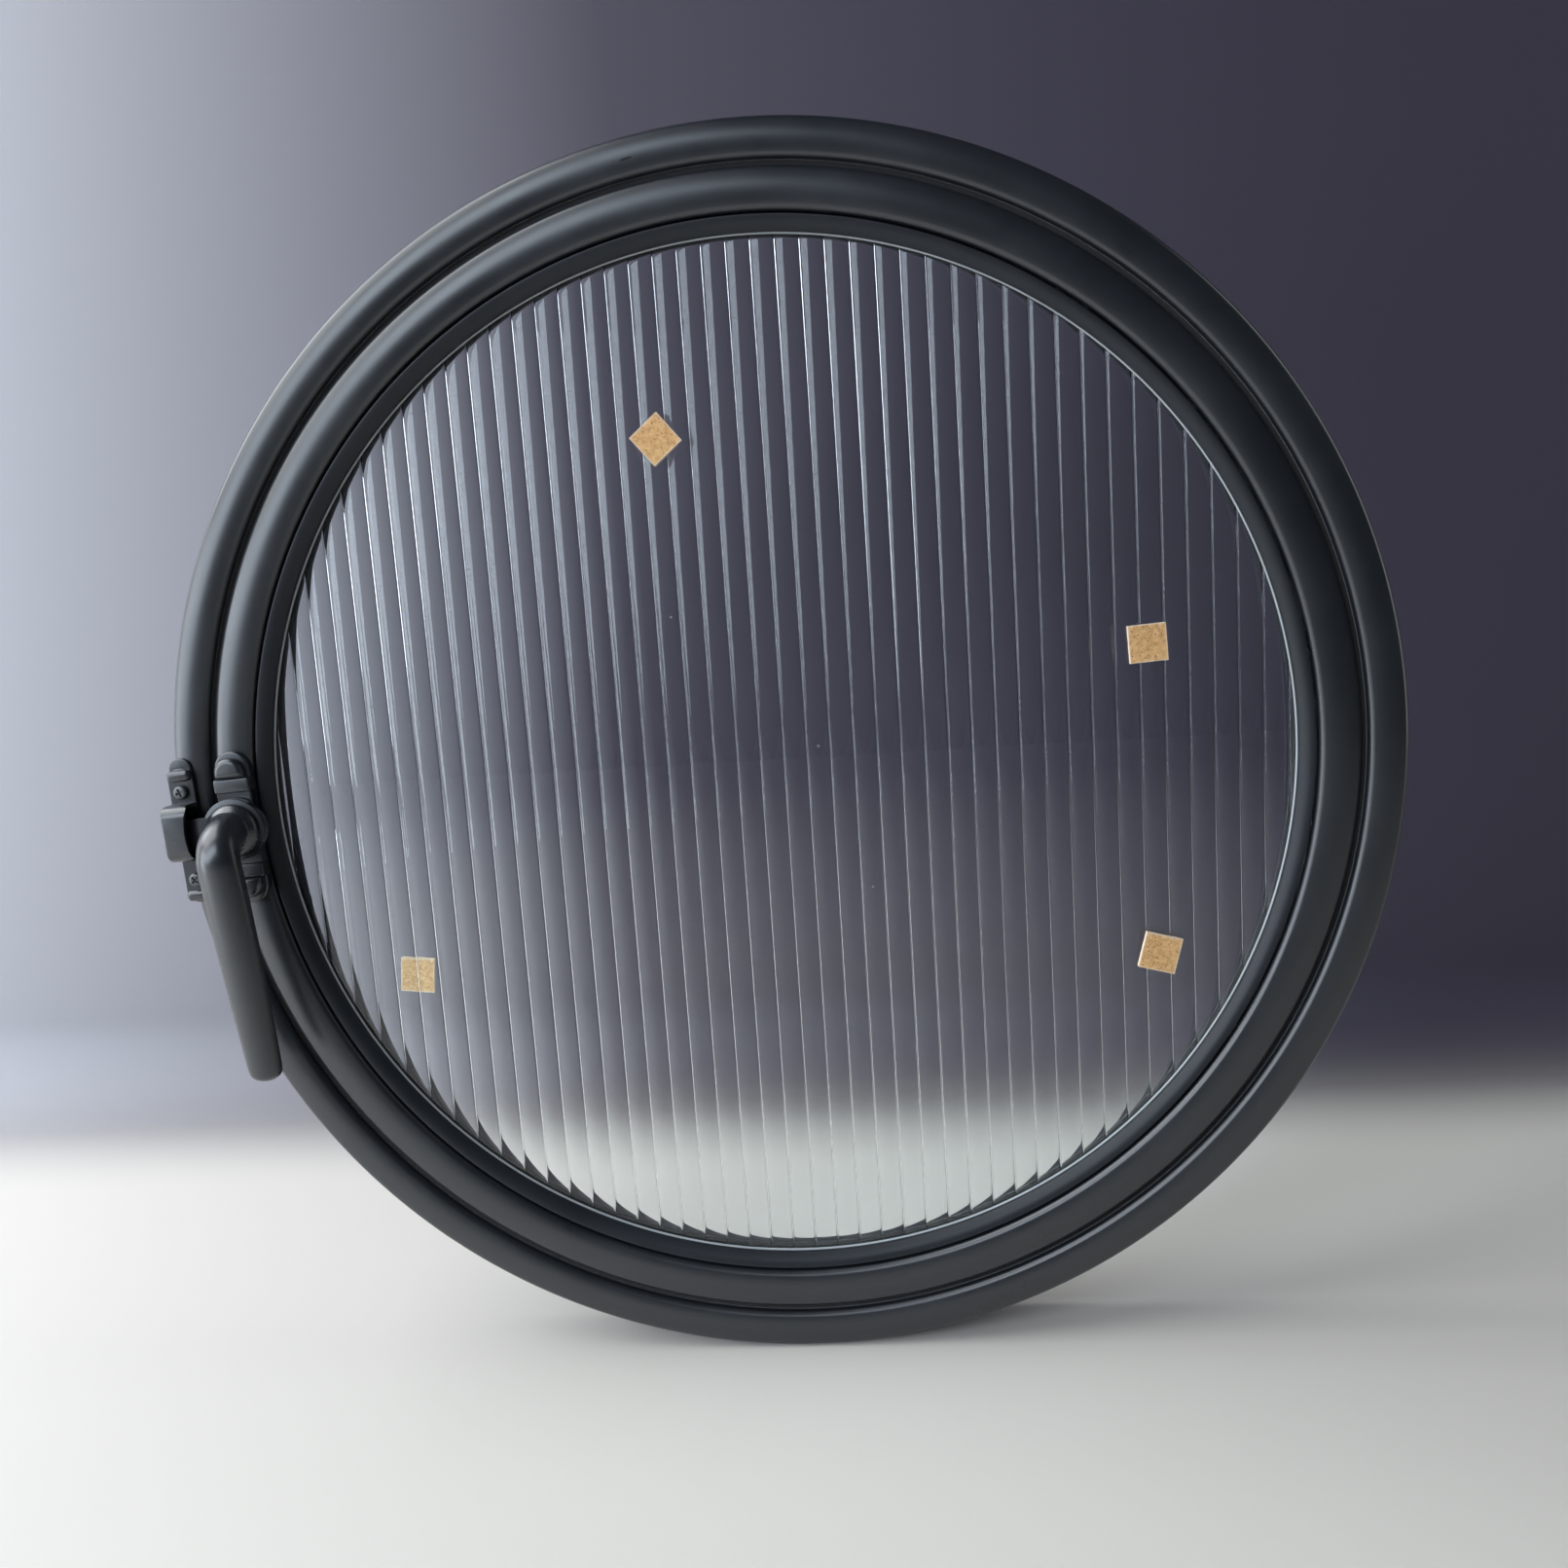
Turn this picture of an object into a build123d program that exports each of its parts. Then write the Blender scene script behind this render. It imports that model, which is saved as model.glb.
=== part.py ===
from math import cos, degrees, radians, sin
import os

from build123d import *

os.makedirs("parts", exist_ok=True)

# A round pivot window: a ring frame for the wall, a ring sash that turns on two hidden
# pivots at the top and the bottom, one pane of reeded glass, and a lever handle on the left
# whose tongue goes into a hooded keeper on the frame.
# The origin is the centre of the ring at the middle of its depth. The room is towards -Y,
# outdoors towards +Y, and +Z is up. Millimetres.

# Rings
frame_outer_radius = 300.0
frame_face_width = 18.6
ring_gap = 2.8
sash_face_width = 19.7
ring_depth = 40.0
crown_height = 2.2
ring_wall = 1.8
front_edge_radius = 1.6
back_edge_chamfer = 0.8

# Glass and what holds it
glass_recess = 10.0
glass_thickness = 6.0
glass_edge_gap = 2.5
reed_pitch = 11.55
reed_depth = 0.85
reed_land = 0.5
lip_width = 7.9
lip_thickness = 2.5
glass_gasket_thickness = 3.0
glass_gasket_width = 5.0
bead_gasket_thickness = 1.5
bead_gasket_width = 4.4
bead_gasket_lip = 0.5
bead_face_gap = 1.0
bead_width = 7.2
bead_setback = 3.0
bead_nose_height = 1.6
bead_wall = 1.5
bead_nose_wall = 2.1
bead_crown_wall = 2.0
bead_crown_slope = 0.12
bead_hook_height = 1.4
bead_hook_reach = 0.7
fit_gap = 0.1
setting_block_angle = 12.0
setting_block_places = [45.0, 135.0, 225.0, 315.0]

# Brush seals between the rings
seal_offset = 12.5
seal_groove_width = 5.0
seal_groove_depth = 0.8
seal_backing = 0.7
pile_width = 2.4
pile_tip_clearance = 0.7

# Pivots
pivot_radius = 4.0
pivot_running_gap = 0.05
bush_wall = 2.0
bush_flange_radius = 8.0
bush_flange_clearance = 0.2
bush_length = 2.9
pivot_head_radius = 6.5
pivot_head_height = 5.0
pivot_key_radius = 2.5
pivot_key_depth = 3.0
spring_washer_height = 1.1
pivot_block_length = 24.0
pivot_block_width = 16.0
pivot_block_height = 10.0
pivot_block_corner_radius = 1.5
pivot_block_clearance = 0.4
access_hole_radius = 8.5
stop_pin_radius = 2.0
stop_pin_orbit = 12.0
stop_pin_head_radius = 3.2
stop_pin_head_height = 2.0
stop_clearance = 0.35
opening_angle = 90.0

# Latch: heights are measured from the middle of the ring's depth towards the room
latch_angle = 182.6
hub_inset = 12.1  # from the sash's outer edge
base_width = 17.5
base_length = 77.0
base_plate_height = 2.5
base_corner_radius = 1.0
neck_height = 4.0
band_height = 5.4
band_width = 7.0
band_inset = 17.0  # from the base's ends
band_overhang = 0.3
boss_radius = 12.5
boss_height = 4.6
cap_inset = 3.1  # from the base's ends
cap_radius = 7.4
cap_height = 5.0
cap_edge_radius = 3.4
cap_wall = 1.3
cap_joint = 0.25
handle_screw_inset = 9.0  # from the base's ends
handle_screw_radius = 2.1
handle_screw_head_radius = 4.0
handle_screw_head_height = 2.0
screw_length = 12.0
washer_thickness = 0.9
washer_radius = 9.0
turning_gap = 0.3
tongue_disc_radius = 15.5
tongue_width = 15.0
tongue_thickness = 4.5
tongue_corner_radius = 2.0
spindle_radius = 4.0
spindle_head_radius = 6.0
spindle_head_height = 1.5
spindle_length = 18.0

# Lever: half sizes are across its width and through its thickness
collar_radius = 11.5
collar_height = 3.6
collar_edge_radius = 2.2
elbow_radius = 14.0
elbow_height = 30.0
neck_half_size = (10.4, 10.2)
elbow_half_sizes = [(9.9, 9.7), (10.1, 9.1), (10.4, 8.4), (10.7, 7.8)]
grip_half_sizes = {0.16: (10.8, 7.6), 0.4: (10.5, 7.3), 0.7: (9.6, 6.7), 1.0: (8.5, 6.0)}
grip_length = 104.0
grip_tip_length = 5.5
grip_slope = 2.5
grip_lean = 1.6

# Keeper
keeper_width = 13.2
keeper_length = 68.0
keeper_corner_radius = 6.0
keeper_edge_gap = 0.1  # from the frame's outer edge
keeper_drop = 1.5
keeper_base_height = 3.2
keeper_end_height = 5.4
keeper_end_length = 6.4
keeper_end_radius = 2.4
hood_length = 26.8
hood_height = 16.0
hood_wall = 2.2
hood_corner_radius = 5.5
hood_edge_radius = 1.0
tongue_clearance = 0.5
keeper_screw_inset = 5.4  # from the raised ends
keeper_screw_radius = 1.9
keeper_screw_head_radius = 3.5
keeper_screw_head_height = 2.6
screw_hole_gap = 0.1

# Cork transit pads on the glass: angle round the pane, distance in from the pane's edge and
# the pad's own turn, with both angles in degrees
pad_side = 18.0
pad_thickness = 3.0
room_side_pads = {
    "pad_upper": (105.3391, 88.934, 39.0),
    "pad_right": (15.5874, 67.347, 3.0),
    "pad_lower_right": (331.444, 46.575, -15.0),
}
outdoor_side_pads = {"pad_lower_left": (206.8886, 42.584, -6.0)}

# Radii and depths that follow
frame_inner_radius = frame_outer_radius - frame_face_width
sash_outer_radius = frame_inner_radius - ring_gap
sash_inner_radius = sash_outer_radius - sash_face_width
hub_radius_on_ring = sash_outer_radius - hub_inset
room_face = -ring_depth / 2
outdoor_face = ring_depth / 2
crown_foot = room_face + crown_height
glass_front = room_face + glass_recess
glass_back = glass_front + glass_thickness
glass_radius = sash_inner_radius - glass_edge_gap
lip_front = glass_back + glass_gasket_thickness
lip_inner_radius = sash_inner_radius - lip_width
bead_outer_radius = sash_inner_radius - bead_face_gap
bead_inner_radius = bead_outer_radius - bead_width
bead_foot = glass_front - bead_gasket_thickness
bead_top = room_face + bead_setback
frame_cavity_radius = frame_inner_radius + ring_wall
sash_wall_radius = sash_outer_radius - ring_wall
band_offset = base_length / 2 - band_inset
cap_offset = base_length / 2 - cap_inset - cap_radius
handle_screw_offset = base_length / 2 - handle_screw_inset
cap_start = band_offset + band_width / 2 + cap_joint
tongue_radius = cap_start - turning_gap


def ring_outline(inner_radius, outer_radius):
    # A ring's section: crowned towards the room, flat towards outdoors.
    middle_radius = (inner_radius + outer_radius) / 2
    with BuildSketch(Plane.XY) as outline:
        with BuildLine():
            Polyline(
                (outer_radius, crown_foot),
                (outer_radius, outdoor_face),
                (inner_radius, outdoor_face),
                (inner_radius, crown_foot),
            )
            crown = (middle_radius, room_face)
            ThreePointArc((inner_radius, crown_foot), crown, (outer_radius, crown_foot))
        make_face()
        fillet(outline.vertices().group_by(Axis.Y)[0], front_edge_radius)
        chamfer(outline.vertices().group_by(Axis.Y)[-1], back_edge_chamfer)
    return outline


def band(inner_radius, outer_radius, front, back, mode=Mode.ADD):
    # A plain rectangle of a ring's section, drawn in the sketch that is open.
    with Locations(((inner_radius + outer_radius) / 2, (front + back) / 2)):
        Rectangle(outer_radius - inner_radius, back - front, mode=mode)


def write(piece, name):
    piece.part.label = name
    export_step(piece.part, f"parts/{name}.step")


# Full sections of both rings, used to seat what is fixed on their crowned faces
with BuildPart() as frame_envelope:
    add(ring_outline(frame_inner_radius, frame_outer_radius).sketch)
    revolve(axis=Axis.Y)

with BuildPart() as sash_envelope:
    add(ring_outline(sash_inner_radius, sash_outer_radius).sketch)
    revolve(axis=Axis.Y)

# The latch's own plane: its x runs outwards along the radius through the handle's hub, its y
# runs down along the rings and its z comes towards the room.
outwards = (cos(radians(latch_angle)), 0, sin(radians(latch_angle)))
latch = Plane(origin=(0, 0, 0), x_dir=outwards, z_dir=(0, -1, 0))
crown_top = -room_face
hub = (hub_radius_on_ring, 0)
keeper_place = (frame_outer_radius - keeper_edge_gap - keeper_width / 2, keeper_drop)
tongue_bottom = crown_top + band_height + turning_gap
tongue_top = tongue_bottom + tongue_thickness
screw_tip = crown_top - screw_length
handle_screw_places = [(hub_radius_on_ring, side * handle_screw_offset) for side in (-1, 1)]
keeper_screw_spacing = keeper_length - 2 * (keeper_end_length + keeper_screw_inset)
keeper_screw_places = [
    (keeper_place[0], keeper_place[1] + side * keeper_screw_spacing / 2) for side in (-1, 1)
]

# Frame ring, a rolled hollow profile
with BuildPart() as frame_ring:
    with BuildSketch(Plane.XY):
        add(ring_outline(frame_inner_radius, frame_outer_radius).sketch)
        offset(amount=-ring_wall, kind=Kind.INTERSECTION, mode=Mode.SUBTRACT)
        for side in (-1, 1):
            groove_front = side * seal_offset - seal_groove_width / 2
            groove_back = groove_front + seal_groove_width
            groove_floor = frame_inner_radius + seal_groove_depth
            band(frame_inner_radius, groove_floor, groove_front, groove_back, mode=Mode.SUBTRACT)
    revolve(axis=Axis.Y)
    for end in (1, -1):
        with BuildSketch(Plane.XY.offset(end * frame_inner_radius)):
            Circle(pivot_radius + pivot_running_gap + bush_wall)
        extrude(amount=end * 2 * ring_wall, both=True, mode=Mode.SUBTRACT)
        with BuildSketch(Plane.XY.offset(end * frame_outer_radius)):
            Circle(access_hole_radius)
        extrude(amount=end * 2 * ring_wall, both=True, mode=Mode.SUBTRACT)
    with BuildSketch(Plane.XY.offset(-frame_inner_radius)):
        with Locations((stop_pin_orbit, 0)):
            Circle(stop_pin_radius)
    extrude(amount=2 * ring_wall, both=True, mode=Mode.SUBTRACT)
    with BuildSketch(latch.offset(crown_top)):
        with Locations(*keeper_screw_places):
            Circle(keeper_screw_radius + screw_hole_gap)
    extrude(amount=-2 * ring_wall - crown_height, mode=Mode.SUBTRACT)
write(frame_ring, "frame_ring")

# Brush seals in the frame's inner grooves: a backing strip and its pile
for name, side in {"brush_seal_room": -1, "brush_seal_outdoor": 1}.items():
    seal_middle = side * seal_offset
    groove_floor = frame_inner_radius + seal_groove_depth
    backing_width = seal_groove_width - 2 * fit_gap
    pile_tip = sash_outer_radius + pile_tip_clearance
    with BuildPart() as brush_seal:
        with BuildSketch(Plane.XY):
            band(
                groove_floor - seal_backing,
                groove_floor,
                seal_middle - backing_width / 2,
                seal_middle + backing_width / 2,
            )
            band(
                pile_tip,
                groove_floor - seal_backing,
                seal_middle - pile_width / 2,
                seal_middle + pile_width / 2,
            )
        revolve(axis=Axis.Y)
    write(brush_seal, name)

# Sash ring: the same kind of profile, with a lip behind the glass and a groove for the bead
with BuildPart() as sash_ring:
    with BuildSketch(Plane.XY):
        add(ring_outline(sash_inner_radius, sash_outer_radius).sketch)
        offset(amount=-ring_wall, kind=Kind.INTERSECTION, mode=Mode.SUBTRACT)
        lip_root_radius = sash_inner_radius + ring_wall / 2
        band(lip_inner_radius, lip_root_radius, lip_front, lip_front + lip_thickness)
        band(
            sash_inner_radius,
            sash_inner_radius + bead_hook_reach + fit_gap,
            bead_foot - bead_hook_height - fit_gap,
            bead_foot + fit_gap,
            mode=Mode.SUBTRACT,
        )
    revolve(axis=Axis.Y)
    for end in (1, -1):
        with BuildSketch(Plane.XY.offset(end * sash_outer_radius)):
            Circle(pivot_radius + fit_gap)
        extrude(amount=-end * 2 * ring_wall, mode=Mode.SUBTRACT)
    # quarter-circle slot for the stop pin, around the lower pivot
    slot_overrun = degrees(stop_clearance / stop_pin_orbit)
    with BuildSketch(Plane.XY.offset(-sash_outer_radius)):
        slot_sweep = opening_angle + 2 * slot_overrun
        slot_line = CenterArc((0, 0), stop_pin_orbit, slot_overrun, -slot_sweep, mode=Mode.PRIVATE)
        SlotArc(slot_line, 2 * (stop_pin_radius + stop_clearance))
    extrude(amount=2 * ring_wall, mode=Mode.SUBTRACT)
    with BuildSketch(latch.offset(crown_top)):
        with Locations(*handle_screw_places):
            Circle(handle_screw_radius + screw_hole_gap)
    extrude(amount=-2 * ring_wall - crown_height, mode=Mode.SUBTRACT)
write(sash_ring, "sash_ring")

# Pane: smooth towards the room, with upright hollow flutes towards outdoors
reed_count = 2 * int(glass_radius / reed_pitch + 0.5) + 1
first_reed = -reed_count * reed_pitch / 2
with BuildPart() as glass_pane:
    with BuildSketch(Plane.XY.offset(-glass_radius)):
        with BuildLine():
            Polyline(
                (first_reed, glass_back),
                (first_reed, glass_front),
                (-first_reed, glass_front),
                (-first_reed, glass_back),
            )
            for reed in range(reed_count):
                left = first_reed + reed * reed_pitch
                start = left + reed_land / 2
                end = left + reed_pitch - reed_land / 2
                Line((left, glass_back), (start, glass_back))
                ThreePointArc(
                    (start, glass_back),
                    (left + reed_pitch / 2, glass_back - reed_depth),
                    (end, glass_back),
                )
                Line((end, glass_back), (left + reed_pitch, glass_back))
        make_face()
    extrude(amount=2 * glass_radius)
    with BuildSketch(Plane.XZ):
        Circle(glass_radius)
    extrude(amount=ring_depth, both=True, mode=Mode.INTERSECT)
write(glass_pane, "glass_pane")

# Glazing bead: a rounded nose towards the room, open behind, with a snap hook
with BuildPart() as glazing_bead:
    with BuildSketch(Plane.XY) as bead_section:
        nose_top = bead_foot - bead_nose_height
        with BuildLine():
            Polyline(
                (bead_inner_radius, nose_top),
                (bead_inner_radius, bead_foot),
                (bead_outer_radius, bead_foot),
                (bead_outer_radius, bead_top),
            )
            TangentArc(
                (bead_outer_radius, bead_top),
                (bead_inner_radius, nose_top),
                tangent=(-1, bead_crown_slope),
            )
        make_face()
        fillet(bead_section.vertices().group_by(Axis.Y)[0], bead_wall / 2)
        with BuildLine():
            cavity_inner = bead_inner_radius + bead_nose_wall
            cavity_outer = bead_outer_radius - bead_wall
            Polyline(
                (cavity_inner, bead_foot),
                (cavity_inner, nose_top + bead_wall / 2),
                (cavity_outer, bead_top + bead_crown_wall),
                (cavity_outer, bead_foot),
                close=True,
            )
        make_face(mode=Mode.SUBTRACT)
        band(
            bead_outer_radius - bead_wall / 2,
            sash_inner_radius + bead_hook_reach,
            bead_foot - bead_hook_height,
            bead_foot,
        )
    revolve(axis=Axis.Y)
write(glazing_bead, "glazing_bead")

# Gaskets on both sides of the pane
with BuildPart() as bead_gasket:
    with BuildSketch(Plane.XY) as bead_gasket_section:
        gasket_inner = bead_inner_radius - bead_gasket_lip
        band(gasket_inner, gasket_inner + bead_gasket_width, bead_foot, glass_front)
        fillet(bead_gasket_section.vertices().group_by(Axis.X)[0], bead_gasket_thickness / 3)
    revolve(axis=Axis.Y)
write(bead_gasket, "bead_gasket")

with BuildPart() as glass_gasket:
    with BuildSketch(Plane.XY):
        band(lip_inner_radius, lip_inner_radius + glass_gasket_width, glass_back, lip_front)
    revolve(axis=Axis.Y)
write(glass_gasket, "glass_gasket")

# Setting blocks that hold the pane's edge clear of the sash
for number, place in enumerate(setting_block_places, 1):
    with BuildPart() as setting_block:
        with BuildSketch(Plane.XY.rotated((0, -place + setting_block_angle / 2, 0))):
            band(
                glass_radius + fit_gap / 2,
                sash_inner_radius - fit_gap / 2,
                glass_front + fit_gap,
                glass_back - fit_gap,
            )
        revolve(axis=Axis.Y, revolution_arc=-setting_block_angle)
    write(setting_block, f"setting_block_{number}")

# Pivots: a shoulder bolt screwed into a block inside the sash turns in a flanged bush in the
# frame's inner wall, and a spring washer under its head gives the friction that holds the sash
flange_face = sash_outer_radius + turning_gap
flange_back = frame_inner_radius - bush_flange_clearance
bush_top = frame_cavity_radius + bush_length
washer_foot = bush_top + fit_gap
bolt_seat = washer_foot + spring_washer_height
block_top = sash_wall_radius - pivot_block_clearance
for name, end in {"top": 1, "bottom": -1}.items():
    bore_radius = pivot_radius + pivot_running_gap
    with BuildPart() as pivot_bush:
        with BuildSketch(Plane.XY.offset(end * flange_face)):
            Circle(bush_flange_radius)
            Circle(bore_radius, mode=Mode.SUBTRACT)
        extrude(amount=end * (flange_back - flange_face))
        with BuildSketch(Plane.XY.offset(end * flange_back)):
            Circle(bore_radius + bush_wall - fit_gap / 2)
            Circle(bore_radius, mode=Mode.SUBTRACT)
        extrude(amount=end * (bush_top - flange_back))
    write(pivot_bush, f"pivot_bush_{name}")

    with BuildPart() as spring_washer:
        with BuildSketch(Plane.XY.offset(end * washer_foot)):
            Circle(pivot_head_radius)
            Circle(pivot_radius + fit_gap, mode=Mode.SUBTRACT)
        extrude(amount=end * spring_washer_height)
    write(spring_washer, f"spring_washer_{name}")

    with BuildPart() as pivot_bolt:
        with BuildSketch(Plane.XY.offset(end * (block_top - pivot_block_height))):
            Circle(pivot_radius)
        extrude(amount=end * (bolt_seat - block_top + pivot_block_height))
        with BuildSketch(Plane.XY.offset(end * bolt_seat)):
            Circle(pivot_head_radius)
        extrude(amount=end * pivot_head_height)
        bolt_end = end * (bolt_seat + pivot_head_height)
        with BuildSketch(Plane.XY.offset(bolt_end)):
            RegularPolygon(pivot_key_radius, 6)
        extrude(amount=-end * pivot_key_depth, mode=Mode.SUBTRACT)
    write(pivot_bolt, f"pivot_bolt_{name}")

    with BuildPart() as pivot_block:
        with BuildSketch(Plane.XY.offset(end * block_top)):
            RectangleRounded(pivot_block_length, pivot_block_width, pivot_block_corner_radius)
            Circle(pivot_radius + fit_gap / 2, mode=Mode.SUBTRACT)
        extrude(amount=-end * pivot_block_height)
    write(pivot_block, f"pivot_block_{name}")

# Stop pin in the frame: it runs in the sash's slot and ends the swing both ways
with BuildPart() as stop_pin:
    pin_tip = sash_wall_radius + fit_gap
    with BuildSketch(Plane.XY.offset(-pin_tip)):
        with Locations((stop_pin_orbit, 0)):
            Circle(stop_pin_radius - fit_gap / 2)
    extrude(amount=-(frame_cavity_radius - pin_tip))
    with BuildSketch(Plane.XY.offset(-frame_cavity_radius - fit_gap)):
        with Locations((stop_pin_orbit, 0)):
            Circle(stop_pin_head_radius)
    extrude(amount=-stop_pin_head_height)
    with BuildSketch(Plane.XY.offset(-frame_cavity_radius)):
        with Locations((stop_pin_orbit, 0)):
            Circle(stop_pin_radius - fit_gap / 2)
    extrude(amount=-stop_pin_head_height / 2)
write(stop_pin, "stop_pin")

# Keeper: a cast foot seated on the frame's crown, with a hood open towards the sash
keeper_across, keeper_along = keeper_place
hood_foot = room_face - keeper_end_height
with BuildPart() as keeper:
    with BuildSketch(latch.offset(-crown_foot)):
        with Locations(keeper_place):
            RectangleRounded(keeper_width, keeper_length, keeper_corner_radius)
    extrude(amount=crown_height + keeper_end_height)
    fillet(keeper.faces().sort_by(Axis.Y)[0].edges(), keeper_end_radius)
    with BuildSketch(latch.offset(crown_top + keeper_base_height)):
        with Locations(keeper_place):
            Rectangle(2 * keeper_width, keeper_length - 2 * keeper_end_length)
    extrude(amount=keeper_end_height, mode=Mode.SUBTRACT)
    with BuildSketch(latch.offset(crown_top)):
        with Locations(keeper_place):
            Rectangle(keeper_width, hood_length)
    extrude(amount=hood_height)
    hood_top = keeper.faces().sort_by(Axis.Y)[0]
    fillet(hood_top.edges().filter_by(Axis((0, 0, 0), outwards)), hood_corner_radius)
    hood_edges = keeper.edges().filter_by(lambda edge: edge.bounding_box().max.Y < hood_foot)
    fillet(hood_edges.group_by(Axis.X)[0], hood_edge_radius)
    # the space inside the hood, and room for the tongue's sweep
    with BuildSketch(latch.offset(crown_top + keeper_base_height)):
        with Locations((keeper_across - hood_wall, keeper_along)):
            Rectangle(keeper_width, hood_length - 2 * hood_wall)
        with Locations(hub):
            Circle(tongue_radius + tongue_clearance)
    extrude(amount=hood_height - hood_wall - keeper_base_height, mode=Mode.SUBTRACT)
    with BuildSketch(latch.offset(crown_top + hood_height)):
        with Locations(*keeper_screw_places):
            Circle(keeper_screw_radius + screw_hole_gap)
    extrude(amount=-2 * hood_height, mode=Mode.SUBTRACT)
    add(frame_envelope.part, mode=Mode.SUBTRACT)
write(keeper, "keeper")

# Pan-head screws that hold the keeper
for name, place in zip(("upper", "lower"), keeper_screw_places):
    with BuildPart() as keeper_screw:
        with BuildSketch(latch.offset(screw_tip)):
            with Locations(place):
                Circle(keeper_screw_radius)
        extrude(amount=crown_top + keeper_base_height - screw_tip)
        with BuildSketch(latch.offset(crown_top + keeper_base_height)):
            with Locations(place):
                Circle(keeper_screw_head_radius)
        extrude(amount=keeper_screw_head_height)
        fillet(keeper_screw.faces().sort_by(Axis.Y)[0].edges(), keeper_screw_head_height / 2)
    write(keeper_screw, f"keeper_screw_{name}")

# Handle base: a stepped casting along the sash, seated on its crown
with BuildPart() as handle_base:
    with BuildSketch(latch.offset(-crown_foot)):
        with Locations(hub):
            SlotOverall(base_length, base_width, rotation=90)
    extrude(amount=crown_height + base_plate_height)
    fillet(handle_base.faces().sort_by(Axis.Y)[0].edges(), base_plate_height / 3)
    with BuildSketch(latch.offset(crown_top)):
        with Locations(hub):
            RectangleRounded(base_width, 2 * band_offset, base_corner_radius)
    extrude(amount=neck_height)
    for side in (-1, 1):
        with BuildSketch(latch.offset(crown_top)):
            with Locations((hub_radius_on_ring, side * band_offset)):
                RectangleRounded(base_width + 2 * band_overhang, band_width, base_corner_radius)
        extrude(amount=band_height)
    with BuildSketch(latch.offset(crown_top)):
        with Locations(hub):
            Circle(boss_radius)
    extrude(amount=boss_height)
    with Locations(latch.offset(crown_top) * Location((hub_radius_on_ring, 0, boss_height))):
        Hole(spindle_radius + pivot_running_gap, depth=2 * ring_depth)
    with BuildSketch(latch.offset(crown_top - crown_height)):
        with Locations(hub):
            Circle(spindle_head_radius + turning_gap)
    extrude(amount=crown_height + spindle_head_height + 2 * turning_gap, mode=Mode.SUBTRACT)
    for place in handle_screw_places:
        with Locations(latch.offset(crown_top + base_plate_height) * Location((*place, 0))):
            head_hole_radius = handle_screw_head_radius + screw_hole_gap
            CounterSinkHole(handle_screw_radius + screw_hole_gap, head_hole_radius)
    add(sash_envelope.part, mode=Mode.SUBTRACT)
write(handle_base, "handle_base")

# Snap-on caps that hide the handle's screws
for name, side in {"upper": -1, "lower": 1}.items():
    cap_foot = crown_top + base_plate_height
    cap_top = cap_foot + cap_height
    with BuildPart() as handle_cap:
        with BuildSketch(latch.offset(cap_foot)):
            with Locations((hub_radius_on_ring, side * cap_offset)):
                Circle(cap_radius)
            with Locations((hub_radius_on_ring, side * (cap_start + cap_offset) / 2)):
                Rectangle(2 * cap_radius, cap_offset - cap_start)
            with Locations((hub_radius_on_ring, side * (cap_start + cap_radius))):
                Rectangle(2 * cap_radius, 2 * cap_radius, mode=Mode.INTERSECT)
        extrude(amount=cap_height)
        joint_place = latch.from_local_coords((hub_radius_on_ring, side * cap_start, cap_top))
        cap_rim = handle_cap.faces().sort_by(Axis.Y)[0].edges().sort_by_distance(joint_place)
        fillet(cap_rim[1:], cap_edge_radius)
        with BuildSketch(latch.offset(cap_foot)):
            with Locations((hub_radius_on_ring, side * handle_screw_offset)):
                Circle(cap_offset + cap_radius - handle_screw_offset - cap_wall)
        extrude(amount=cap_height / 2, mode=Mode.SUBTRACT)
    write(handle_cap, f"handle_cap_{name}")

# Countersunk screws under the caps
for name, place in zip(("upper", "lower"), handle_screw_places):
    with BuildPart() as handle_screw:
        head_face = crown_top + base_plate_height
        with BuildSketch(latch.offset(screw_tip)):
            with Locations(place):
                Circle(handle_screw_radius)
        extrude(amount=head_face - screw_tip)
        with BuildSketch(latch.offset(head_face)):
            with Locations(place):
                Circle(handle_screw_head_radius)
        with BuildSketch(latch.offset(head_face - handle_screw_head_height)):
            with Locations(place):
                Circle(handle_screw_radius)
        loft()
    write(handle_screw, f"handle_screw_{name}")

# Plain washer between the boss and the tongue
with BuildPart() as handle_washer:
    with BuildSketch(latch.offset(crown_top + boss_height)):
        with Locations(hub):
            Circle(washer_radius)
            Circle(spindle_radius + screw_hole_gap, mode=Mode.SUBTRACT)
    extrude(amount=washer_thickness)
write(handle_washer, "handle_washer")

# Tongue: a disc about the hub with a nose that reaches into the keeper's hood
with BuildPart() as tongue:
    with BuildSketch(latch.offset(tongue_bottom)):
        with Locations(hub):
            Circle(tongue_radius)
            nose_side = (Align.MIN, Align.CENTER)
            Rectangle(tongue_radius, tongue_width, align=nose_side, mode=Mode.INTERSECT)
            Circle(tongue_disc_radius)
            Circle(spindle_radius + fit_gap / 2, mode=Mode.SUBTRACT)
    extrude(amount=tongue_thickness)
    tip_edges = tongue.edges().filter_by(Axis.Y).sort_by(Axis.X)[0:2]
    fillet(tip_edges, tongue_corner_radius)
write(tongue, "tongue")

# Spindle: riveted through the lever and the tongue, with its head under the base
with BuildPart() as spindle:
    spindle_foot = crown_top + turning_gap
    with BuildSketch(latch.offset(spindle_foot)):
        with Locations(hub):
            Circle(spindle_head_radius)
    extrude(amount=spindle_head_height)
    with BuildSketch(latch.offset(spindle_foot)):
        with Locations(hub):
            Circle(spindle_radius)
    extrude(amount=spindle_length)
write(spindle, "spindle")

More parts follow.
